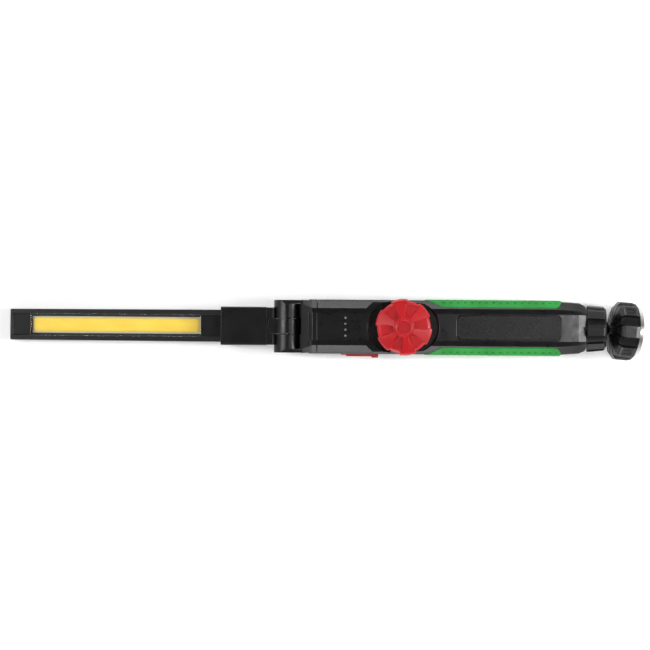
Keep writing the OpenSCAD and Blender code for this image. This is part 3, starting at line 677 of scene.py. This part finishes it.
# stations of the tail: x, half width, half height of the side, gentle slope's end in y and z, front's height
TAIL = [
    (194.5, 23.0, 11.5, 15.8, 18.7, 20.0),
    (200.0, 22.3, 11.3, 15.5, 18.6, 20.0),
    (207.0, 21.9, 11.0, 15.0, 18.4, 19.8),
    (212.8, 21.5, 10.6, 14.4, 17.8, 19.4),
    (216.5, 20.7, 10.0, 13.8, 16.2, 17.6),
    (219.3, 19.0, 9.4, 13.2, 14.8, 16.2),
]


def tail_station(x):
    """The handle's section at x, measured as in TAIL."""
    for first, second in zip(TAIL, TAIL[1:]):
        if x <= second[0]:
            share = max(x - first[0], 0) / (second[0] - first[0])
            return [one + (other - one) * share for one, other in zip(first[1:], second[1:])]
    return TAIL[-1][1:]


def shell_ring(x, inset, sign, low=0.0):
    """The section of one shell at x, drawn in by inset; sign is 1 for the front shell and -1 for the rear."""
    half, side, brow_y, brow_z, top = tail_station(x)
    corners = half_section(half, top, (brow_y, brow_z), side, (half, low - inset))
    radii = [0.5] + FILLETS + FILLETS[::-1] + [0.5]
    return [Vector((x, point.x, sign * point.y)) for point in rounded(offset(corners, inset), radii, 5)]


def shell_body(sign, inset, x0, x1, edge, low=0.0):
    """One shell's outer form, or the form drawn in by inset, with soft ends."""
    stops = [station[0] for station in TAIL]
    middle = [(x, 0) for x in stops if x0 + edge < x < x1 - edge]
    ends = soft(x0, x1, edge) if edge else [(x0, 0), (x1, 0)]
    half = len(ends) // 2
    return skin([shell_ring(x, inset + more, sign, low) for x, more in ends[:half] + middle + ends[half:]])


SHELL_LOW, SHELL_HIGH = span("front_shell")
SHELL_HIGH.x = TAIL[-1][0]
KNOB = joint_place("dimmer_turn")
WALL = 3.0
DISH_FLOOR = 14.0
DISH = (56.0, 72.4, 22.0)      # centres of the dish's round ends, and their radius
SHOULDER = (31.4, 40.3, 54.0)  # where the shoulder starts, is at full width, and ends in the dish
SCREWS = [(-4.5, 11), (-4.5, -11), (47, 12.8), (47, -12.8), (184, 12), (184, -12)]
SEAT = -17.8                   # height of the screw seats in the rear shell
SCREW_TOP = 8.0                # how far up the screws reach


def grip_edge(x, low, high, inner):
    """How far a grip's edge is from the front's middle at x: an S-curve, a straight run, a round corner."""
    rise, corner, outer = 18.0, 6.0, 22.9
    y = outer + (inner - outer) * step_between(x, low, low + rise)
    past = min(max(x - (high - corner), 0), corner)
    return max(y, inner + corner - math.sqrt(corner * corner - past * past))


def dish(grow, floor, fillet=1.2, lip=1.0):
    """Cutters for the dish round the knob."""
    x0, x1, radius = DISH
    top = SHELL_HIGH.z
    return [slab("z", bar_outline(x0, x1, radius + grow, 32), sunk(floor, top, fillet, lip)),
            rod("z", (KNOB.x, 0), 24.5 + grow, floor + 0.8, top + 20, steps=96)]


def shoulders():
    """Where the handle keeps its full width in front of the knob."""
    start, widest, end = SHOULDER
    brow, top, half = *BROW, SHELL_HIGH.y
    section = rounded([(brow - 1, 6), (half, 6), (half, top - 2), (half - 2, top), (brow - 1, top)],
                      [0.1, 0.1, 0.8, 0.8, 0.1], 3)
    inner = brow - 1.2
    plan = rounded([(start, inner), (end, inner), (end, half + 1), (widest + 1, half + 0.9)], 0.3, 2)
    shape = met(prism("x", section, start - 1, end - 0.5), prism("z", plan, 0, top + 5))
    return [mirrored(shape), shape]


def cavity(sign):
    """What a shell is hollowed by, leaving the dish's floor and the screw bosses."""
    boss_r, end = 4.0, 213.0
    hollow = shell_body(sign, WALL, SHELL_LOW.x - 2, end, 0, -2)
    keep = [rod("z", spot, boss_r, -FAR, FAR, steps=24) for spot in SCREWS[2:]]
    if sign > 0:
        keep += dish(WALL, DISH_FLOOR - WALL)
    return cut(hollow, *keep)


def shell_cuts(sign):
    """Cutters that both shells share: grip channels, port, screws and the tail's bore."""
    mouth_r, bore_r, screw_r, head_r = 3.1, 14.5, 1.55, 3.0
    channel = grip_sheet(1.5, 40, 0.1, lambda *where: 4.0, 1.6)
    low, high = span("port_cover")
    side = -SHELL_HIGH.y
    port = slab("y", box_outline((low.x - 0.7, low.z - 0.3), (high.x + 0.4, high.z + 0.3), 0.6),
                [(-40, -0.4), (side, -0.3), (side + 0.4, 0), (side + 2.05, 0)])
    mouth = rod("y", ((low.x + high.x) / 2 - 0.8, 0), mouth_r, -FAR, -10)
    bore = rod("x", (0, 0), bore_r, 210, 230, steps=72)
    screws = [rod("z", spot, screw_r, -FAR, SCREW_TOP) for spot in SCREWS]
    heads = [rod("z", spot, head_r, -FAR, SEAT) for spot in SCREWS] if sign < 0 else []
    return [mirrored(channel), channel, port, mouth, bore] + tail_corners() + screws + heads


def tail_corners():
    """Cutters that round the tail's end in plan, on both sides."""
    radius, half = 4.5, TAIL[-1][1] + 1.2
    x, y = SHELL_HIGH.x - radius, half - radius
    past = SHELL_HIGH.x + 3
    plan = [(past, y), (past, half + 4), (x, half + 4)] + arc((x, y), radius, 90, -90, 10)
    corner = prism("z", plan, -FAR, FAR)
    return [mirrored(corner), corner]


def make_shells():
    label_low, label_high = span("label_plate")
    lens_low, lens_high = span("indicator_lenses")
    ends = (SHELL_LOW.x + 0.05, SHELL_HIGH.x, 0.45, 0.04)
    outer = joined(shell_body(1, 0, *ends), *shoulders())
    gap = Vector((0.35, 0.35))
    recess = slab("z", box_outline(label_low.xy - gap, label_high.xy + gap, 4.8, 8),
                  sunk(label_low.z, SHELL_HIGH.z, 0.1, 0.7))
    lamp_r, hole_r = 0.88, 0.95
    middle = (lens_low.x + lens_high.x) / 2
    pitch = (lens_high.y - lens_low.y - 1.8) / 3
    spots = [(middle, (i - 1.5) * pitch) for i in range(4)]
    holes = [rod("z", spot, hole_r, 10, FAR, steps=20) for spot in spots]
    bushing = rod("z", (KNOB.x, 0), 3.6, 0, 20)
    front = cut(outer, cavity(1), *dish(0, DISH_FLOOR), recess, bushing, *holes, *shell_cuts(1))
    make("front_shell", front, "handle", "shell_plastic")
    rear = cut(shell_body(-1, 0, *ends), cavity(-1), *shell_cuts(-1))
    make("rear_shell", rear, "handle", "shell_plastic")
    make("label_plate", block(label_low, label_high, 4.5, 0.7, 8), "handle", "label_grey")
    lights = [rod("z", spot, lamp_r, lens_low.z, lens_high.z, 0.25, 20) for spot in spots]
    make("indicator_lenses", joined(*lights), "handle", "clear_window", material="light_pipe")


# ---- grips ----

class Path:
    """An open path with its length, so that points and normals can be read along it."""

    def __init__(self, points):
        self.points = points
        self.lengths = [0.0]
        for one, other in zip(points, points[1:]):
            self.lengths.append(self.lengths[-1] + (other - one).length)

    def at(self, s):
        """The point and the outward normal at a length along the path."""
        i = max(j for j in range(len(self.points) - 1) if self.lengths[j] <= max(s, 0))
        run = self.points[i + 1] - self.points[i]
        share = (s - self.lengths[i]) / max(run.length, 1e-9)
        tangent = run.normalized()
        return self.points[i] + run * share, Vector((-tangent.y, tangent.x))

    def crossing(self, y):
        """The length at which the path first passes y."""
        for i, (one, other) in enumerate(zip(self.points, self.points[1:])):
            if one.x <= y <= other.x:
                share = (y - one.x) / max(other.x - one.x, 1e-9)
                return self.lengths[i] + share * (self.lengths[i + 1] - self.lengths[i])
        return self.lengths[-1] / 2


def dimple(x, s, middle, start, end):
    """How deep the dimples are at a place on a grip: staggered rows of ovals along its side."""
    pitch, row_step, rows = 6.0, 2.9, 5
    half_long, half_wide, depth = 1.8, 1.25, 1.0
    row = round((s - middle) / row_step)
    if abs(row) > rows or not start < x < end:
        return 0.0
    shift = pitch / 2 if row % 2 else 0.0
    across = ((x - start - shift + pitch / 2) % pitch - pitch / 2) / half_long
    along = (s - middle - row * row_step) / half_wide
    distance = across * across + along * along
    return depth * (1 - distance) ** 2 * (1 + distance) if distance < 1 else 0.0


def grip_sheet(step, around, grow, lift, root):
    """A sheet that follows the handle's section where a grip lies, grown at its edges. lift(x, s, border) is
    how far its outside stands off the handle, where s is the length round the section from its middle and
    border is the distance to the nearest edge; root is how far its inside lies below."""
    low, high = span("grip_upper")
    front = [(0, SHELL_HIGH.z), (FLAT, SHELL_HIGH.z), BROW, (SHELL_HIGH.y, SIDE_Z)]
    corners = front + [(y, -z) for y, z in reversed(front)]
    path = Path(rounded(corners, [0.01] + FILLETS[::-1] + FILLETS + [0.01], 8))
    total = path.lengths[-1]
    x0, x1 = low.x + 0.1 - grow, high.x - 0.05 + grow
    ends = [0, 0.08, 0.2, 0.35, 0.55, 0.8]
    count = int((x1 - x0 - 2 * ends[-1]) / step)
    xs = [x0 + e for e in ends[:-1]]
    xs += [x0 + ends[-1] + (x1 - x0 - 2 * ends[-1]) * i / count for i in range(count + 1)]
    xs += [x1 - e for e in reversed(ends[:-1])]
    rings = []
    for x in xs:
        first = path.crossing(grip_edge(x, low.x, high.x, low.y + 0.15) + 0.02 - grow)
        length = total - 2 * first
        ring = []
        for j in range(around + 1):
            # closer together near the edges, where the surface rounds over
            share = j / around - 0.6 * math.sin(2 * math.pi * j / around) / (2 * math.pi)
            s = first + length * share
            point, normal = path.at(s)
            border = min(s - first, first + length - s, x - x0, x1 - x)
            ring.append(Vector((x, *(point + normal * lift(x, s - total / 2, border)))))
        for j in range(around // 4 + 1):
            point, normal = path.at(first + length - 0.1 - (length - 0.2) * j / (around // 4))
            ring.append(Vector((x, *(point - normal * root))))
        rings.append(ring)
    return skin(rings)


def make_grips():
    low, high = span("grip_upper")
    proud, soften = high.y - SHELL_HIGH.y, 1.1

    def lift(x, s, border):
        round_off = 1 - math.sqrt(max(1 - (1 - min(border / soften, 1)) ** 2, 0))
        return proud - 0.8 * round_off - dimple(x, s, 0, low.x + 13.5, high.x - 3.5)

    upper = grip_sheet(0.5, 88, 0, lift, 1.4)
    lower = mirrored(upper)
    make("grip_upper", upper, "handle", "green_rubber")
    make("grip_lower", lower, "handle", "green_rubber")


# ---- knob and port cover ----

def make_knob():
    low, high = span("knob")
    outer = (high.y - low.y) / 2
    hub, base = high.z, low.z
    hub_r = 8.3
    sectors, first, half_sector = 6, 39.4, 17.5
    relief = 1.4              # how much smaller the radius is between the sectors
    well = (8.9, 20.1)        # inner and outer radius of the pockets
    spoke = 14.0              # half the angle of a spoke between pockets
    floor = hub - 2.6
    crown = 0.19              # fall of the spokes from the hub towards the rim
    # angles of one period, measured from a sector's middle
    half_period = 180 / sectors
    marks = [0, 5, 10, spoke - 0.9, spoke - 0.3, spoke + 0.5, spoke + 1.3, half_sector - 0.7,
             half_sector - 0.2, half_sector + 0.3, half_sector + 0.9, 20, 24, 27]
    period = sorted({-mark for mark in marks} | set(marks)) + [half_period]
    angles = []
    for middle in [first + i * 2 * half_period for i in range(sectors)]:
        angles += [(math.radians(middle + off), abs(off)) for off in period]
    # rings across the top, then down the side: radius, height of a spoke, share of the relief
    radii = (hub_r, well[0] - 0.15, well[0], well[0] + 0.4, 12, 16, well[1] - 0.4, well[1], well[1] + 0.2)
    across = [(r, hub - crown * (r - hub_r), 0) for r in radii]
    edge = hub - crown * (outer - 1.7 - hub_r)
    across += [(outer - 2.3, edge + 0.12, 0.8), (outer - 1.7, edge, 1), (outer - 1.3, edge - 0.2, 1),
               (outer - 0.35, edge - 1.15, 1), (outer, edge - 1.7, 1), (outer, base + 2.2, 1),
               (outer - 0.3, base + 1.2, 1), (outer - 1.4, base, 1)]
    rings = []
    for radius, height, share in across:
        in_well = min(step_between(radius, well[0], well[0] + 0.4),
                      1 - step_between(radius, well[1] - 0.4, well[1]))
        ring = []
        for angle, off in angles:
            r = radius - relief * share * step_between(off, half_sector - 0.6, half_sector + 0.8)
            z = height + (floor - height) * in_well * step_between(off, spoke - 0.5, spoke + 1.0)
            ring.append(Vector((KNOB.x + r * math.cos(angle), r * math.sin(angle), z)))
        rings.append(ring)
    # underside with its recess, then up the cap's seat
    recess_r, shaft_r, seat_r = 7.9, 3.2, 8.1
    recess, seat = DISH_FLOOR + 3, hub - 1.7
    inside = [(recess_r + 0.3, base), (recess_r, base + 0.3), (recess_r, recess), (shaft_r, recess),
              (shaft_r, seat - 1.6), (shaft_r - 0.15, seat), (seat_r, seat), (seat_r, hub - 0.1)]
    for radius, height in inside:
        rings.append([Vector((KNOB.x + radius * math.cos(angle), radius * math.sin(angle), height))
                      for angle, off in angles])
    make("knob", skin(rings, True), "dimmer", "red_plastic")

    cap_low, cap_high = span("knob_cap")
    reach_r = (cap_high.y - cap_low.y) / 2
    dip, dip_z = 5.7, cap_high.z - 1.7
    bead = 0.9                # how far the round edge falls on both sides
    crest = (reach_r + dip) / 2
    profile = [(0.2, cap_low.z), (reach_r - 0.4, cap_low.z), (reach_r, cap_low.z + 0.3)]
    profile += [(crest + (reach_r - crest) * math.cos(turn), cap_high.z - bead + bead * math.sin(turn))
                for turn in [math.pi * i / 12 for i in range(13)]]
    profile += [(dip, dip_z + 0.3), (dip - 0.3, dip_z), (0.2, dip_z)]
    make("knob_cap", turned("z", profile, even_angles(72), (KNOB.x, 0)), "dimmer", "red_plastic")


def make_cover():
    low, high = span("port_cover")
    hinge = joint_place("cover_open")
    out = low.y + 1.0
    barrel = 1.3
    tab = high.x - 6.0                                   # where the pull tab starts
    rib_first, rib_pitch, rib_half = high.x - 14, 2.2, 0.5
    inner, outer = hinge.y + barrel, hinge.y - barrel
    plan = [(hinge.x - barrel, hinge.y - 0.4), (hinge.x - 0.3, outer), (hinge.x + 3, outer),
            (hinge.x + 4.4, out), (tab - 0.2, out), (tab + 0.5, low.y), (high.x - 0.4, low.y),
            (high.x, out + 0.6), (high.x, inner), (hinge.x, inner), (hinge.x - barrel, hinge.y + 0.4)]
    body = slab("z", lambda inset: rounded(offset(plan, min(inset, 0.35)), 0.35, 3),
                soft(low.z, high.z, 0.7, 4))
    middle = (low.x + high.x) / 2 - 0.8
    plug = rod("y", (middle, 0), 2.5, inner - 0.2, -20.3, steps=32)
    nose = rod("y", (middle, 0), 1.3, -20.5, -18.8, 0.3, 24)
    ribs = [slab("y", box_outline((x - rib_half, low.z + 1.2), (x + rib_half, high.z - 1.2), 0.4),
                 [(out - 1, -0.2), (out - 0.05, -0.2), (out + 0.35, 0.15)])
            for x in [rib_first + rib_pitch * i for i in range(3)]]
    make("port_cover", cut(joined(body, plug, nose), *ribs), "cover", "red_rubber")


# ---- tail ----

BALL = joint_place("base_spin")


def make_collar():
    low, high = span("collar_nut")
    reach_r = (high.y - low.y) / 2 + 0.02
    relief = 1.5
    thread_r, mouth_r = 14.8, 8.8
    shoulder = BALL.x + 5.9
    lobe_end = high.x - 1.8
    lobes, first_lobe, half_lobe, ramp = 8, 98, 12, 1.2
    profile = [(reach_r - 0.6, low.x, relief), (reach_r - 0.15, low.x + 0.25, relief),
               (reach_r, low.x + 0.6, relief), (reach_r - 1.2, lobe_end - 0.6, relief),
               (reach_r - 1.6, lobe_end, relief * 0.7), (reach_r - 2.5, high.x - 0.9, relief * 0.3),
               (reach_r - 3.3, high.x - 0.3, 0), (reach_r - 4.2, high.x, 0), (10.2, high.x, 0),
               (9.8, high.x - 0.25, 0), (mouth_r, BALL.x + 6.2, 0), (mouth_r, shoulder, 0),
               (thread_r, shoulder, 0), (thread_r, low.x + 0.6, 0), (thread_r + 0.5, low.x, 0)]
    nut = turned("x", profile, lobed_angles(lobes, first_lobe, half_lobe, ramp), around=True)
    make("collar_nut", nut, "collar", "black_plastic")


def make_ball():
    radius = 10.0
    stud, end, screw_r = 3.4, 19.0, 1.5
    neck_angle = math.degrees(math.asin(stud / radius))
    profile = [tuple(point) for point in arc((0, 0), radius, -89, 179 - neck_angle - 6, 40)]
    neck = profile[-1][1]
    profile += [(stud + 0.25, neck + 0.55), (stud, neck + 1.3), (stud, end - 0.4), (stud - 0.4, end)]
    ball = cut(turned("z", profile, even_angles(72)), rod("z", (0, 0), screw_r, 12, 24))
    make("ball_stud", ball, "ball", "ball_plastic", place=STUD)


def lowest_angle():
    """The direction round the stud that points at the bench when the light rests on its back."""
    down = -UP
    return math.degrees(math.atan2(down.dot(TILT_AXIS), down.dot(TILT_AXIS.cross(STUD_OUT))))


def make_base():
    low = span("magnet_housing", STUD)[0]
    reach_r = 25.0
    rim, skirt = (17.3, 27.7), 31.0
    relief = 1.8
    lobes, half_lobe, ramp = 8, 12, 0.8
    bore, cup_r = 3.45, 22.1
    ring_floor, ring_top = 17.8, 24.2   # the magnet ring's groove
    boss_r, web_top = 7.6, 19.0
    profile = [(bore, low.z), (boss_r, low.z), (8.2, low.z + 0.2), (14.8, low.z + 0.8),
               (15.6, low.z + 1.0, 0.15), (21.6, low.z + 2.1, 0.5), (22.4, low.z + 2.5, 0.7),
               (reach_r - 0.5, rim[0] - 0.6, relief), (reach_r, rim[0] + 0.3, relief),
               (reach_r, rim[1] - 0.5, relief), (reach_r - 0.25, rim[1] + 0.2, relief),
               (reach_r - 1.0, skirt - 0.3, 0.3), (reach_r - 1.3, skirt, 0.3), (cup_r, skirt),
               (cup_r, ring_top), (21, ring_top), (21, ring_floor), (9.8, ring_floor), (9.8, ring_top),
               (boss_r, ring_top), (boss_r, web_top), (bore, web_top)]
    turn = lowest_angle()
    housing = turned("z", profile, lobed_angles(lobes, turn, half_lobe, ramp), around=True)
    # radial creases of the back, and the snap finger's outline on each lobe
    crease_angle, crease_half, crease_depth = 12.6, 0.45, 0.3
    outline = [(-crease_half, low.z + 0.35), (0, low.z - 0.2), (crease_half, low.z + 0.35),
               (0.6, low.z - 4), (-0.6, low.z - 4)]
    lean = slope_along(9.5, low.z + 0.45 - 0.1, 24.2, rim[0] - crease_depth - 0.1, low.z)
    creases = []
    for lobe in [turn + i * 360 / lobes for i in range(lobes)]:
        for angle in (lobe - crease_angle, lobe + crease_angle):
            groove = prism("x", outline, 9.5, 24.5)
            place = Matrix.Rotation(math.radians(angle), 4, "Z") @ lean
            bmesh.ops.transform(groove, matrix=place, verts=groove.verts)
            creases.append(groove)
        creases.append(snap_outline(lobe, reach_r, rim))
    make("magnet_housing", cut(housing, *creases), "magnet_base", "black_plastic", place=STUD)

    start, end = [corner.z for corner in span("steel_cup", STUD)]
    cup, wall, middle_r = 22.0, 1.3, 5.8
    inside, floor = end - 0.3, 33.9
    profile = [(0.2, floor), (cup - wall, floor), (cup - wall, start), (cup, start), (cup, end - 1.6),
               (cup - 0.15, end - 0.9), (cup - 0.6, end - 0.35), (cup - 1.4, end), (middle_r + 0.4, end),
               (middle_r, inside), (0.2, inside)]
    make("steel_cup", turned("z", profile, even_angles(96)), "magnet_base", "plated_steel", place=STUD)


def slope_along(x0, z0, x1, z1, base):
    """Leans what is drawn along X at a base height so that it runs from (x0, z0) to (x1, z1)."""
    slope = (z1 - z0) / (x1 - x0)
    shear = Matrix.Identity(4)
    shear[2][0] = slope
    shear[2][3] = z0 - slope * x0 - base
    return shear


def snap_outline(angle, radius, rim):
    """A cutter for the shallow horseshoe groove round a snap finger, on the rim at an angle."""
    wide, width = 2.6, 0.8
    start, end = rim[0] + 2.2, rim[1] - 1.2
    outer = [(-wide, start)] + arc((0, end - wide), wide, 180, -180, 10) + [(wide, start)]
    inner = [(wide - width, start)] + arc((0, end - wide), wide - width, 0, 180, 10) + [(width - wide, start)]
    horseshoe = prism("x", outer + inner, radius - 0.9, radius + 2)
    bmesh.ops.rotate(horseshoe, cent=(0, 0, 0), matrix=Matrix.Rotation(math.radians(angle), 3, "Z"),
                     verts=horseshoe.verts)
    return horseshoe


# ---- studio ----

def make_floor():
    nodes = Nodes("floor")
    slow = nodes.ranged(nodes.noise(300, 2), 0, 1)
    nodes.put("Base Color", nodes.blend(slow, (0.94, 0.94, 0.94), (0.96, 0.96, 0.96)))
    nodes.put("Roughness", 0.9)
    nodes.put("Specular IOR Level", 0.1)
    nodes.put("Emission Color", (1, 1, 1, 1))
    nodes.put("Emission Strength", 0.16)
    size, height = 6.0, -0.0002
    corners = ((-size, -size), (size, -size), (size, size), (-size, size))
    sheet = bmesh.new()
    sheet.faces.new([sheet.verts.new((x, y, height)) for x, y in corners])
    floor = loose(sheet)
    floor.name = "floor"
    floor.data.materials.append(nodes.material)


def softbox(name, spot, size, power, target=(0, 0, 0.02), spread=180):
    """A rectangular lamp at a spot, facing a target; a small spread keeps its light to what it faces."""
    data = bpy.data.lights.new(name, "AREA")
    data.shape = "RECTANGLE"
    data.size, data.size_y = size
    data.energy = power
    data.spread = math.radians(spread)
    lamp = bpy.data.objects.new(name, data)
    lamp.location = spot
    lamp.rotation_euler = (Vector(target) - Vector(spot)).to_track_quat("-Z", "Y").to_euler()
    bpy.context.scene.collection.objects.link(lamp)


def make_world():
    """An even pale room that is darker overhead, where the camera is."""
    world = bpy.data.worlds.new("studio")
    bpy.context.scene.world = world
    world.use_nodes = True
    tree = world.node_tree
    background = tree.nodes["Background"]
    coordinates = tree.nodes.new("ShaderNodeTexCoord")
    split = tree.nodes.new("ShaderNodeSeparateXYZ")
    ramp = tree.nodes.new("ShaderNodeMapRange")
    ramp.interpolation_type = "SMOOTHSTEP"
    for socket, value in (("From Min", 0.05), ("From Max", 0.75), ("To Min", 0.85), ("To Max", 0.10)):
        ramp.inputs[socket].default_value = value
    tree.links.new(coordinates.outputs["Generated"], split.inputs["Vector"])
    tree.links.new(split.outputs["Z"], ramp.inputs["Value"])
    tree.links.new(ramp.outputs["Result"], background.inputs["Strength"])
    background.inputs["Color"].default_value = (0.98, 0.99, 1.0, 1)


def make_camera():
    """Looks square at the front of the handle from far off, with the light along the middle of its view."""
    distance, width = 5.0, 0.5525
    centre = HANDLE @ Vector((-2.1, 1.3, 0))
    roll = math.radians(0.45)
    data = bpy.data.cameras.new("camera")
    data.sensor_width = 36
    data.lens = data.sensor_width * distance / width
    data.clip_end = 20
    camera = bpy.data.objects.new("camera", data)
    right = (ALONG * math.cos(roll) + SIDE * math.sin(roll)).normalized()
    up = UP.cross(right)
    camera.matrix_world = Matrix((right, up, UP)).transposed().to_4x4()
    camera.location = centre + UP * distance
    bpy.context.scene.collection.objects.link(camera)
    bpy.context.scene.camera = camera


def make_studio():
    make_floor()
    make_world()
    make_camera()
    softbox("far_side", (-0.25, 1.5, 0.30), (1.1, 0.4), 11)
    softbox("near_side", (-0.25, -1.5, 0.30), (1.1, 0.4), 13)
    softbox("tail_low", (1.7, -0.1, 0.35), (0.3, 1.0), 10)
    softbox("tail_mid", (1.35, 0, 0.88), (0.25, 0.8), 12)
    softbox("tail_high", (0.32, 0, 0.60), (0.10, 0.30), 0.12, (0.24, 0, 0.02), 60)
    softbox("lamp_end", (-1.05, 0.1, 1.3), (0.22, 1.0), 12)
    scene = bpy.context.scene
    scene.view_settings.view_transform = "Standard"
    scene.view_settings.look = "None"


make_studio()
finish_kept_nodes()
make_head()
make_sleeve()
make_neck()
make_yoke()
make_shells()
make_grips()
make_knob()
make_cover()
make_collar()
make_ball()
make_base()
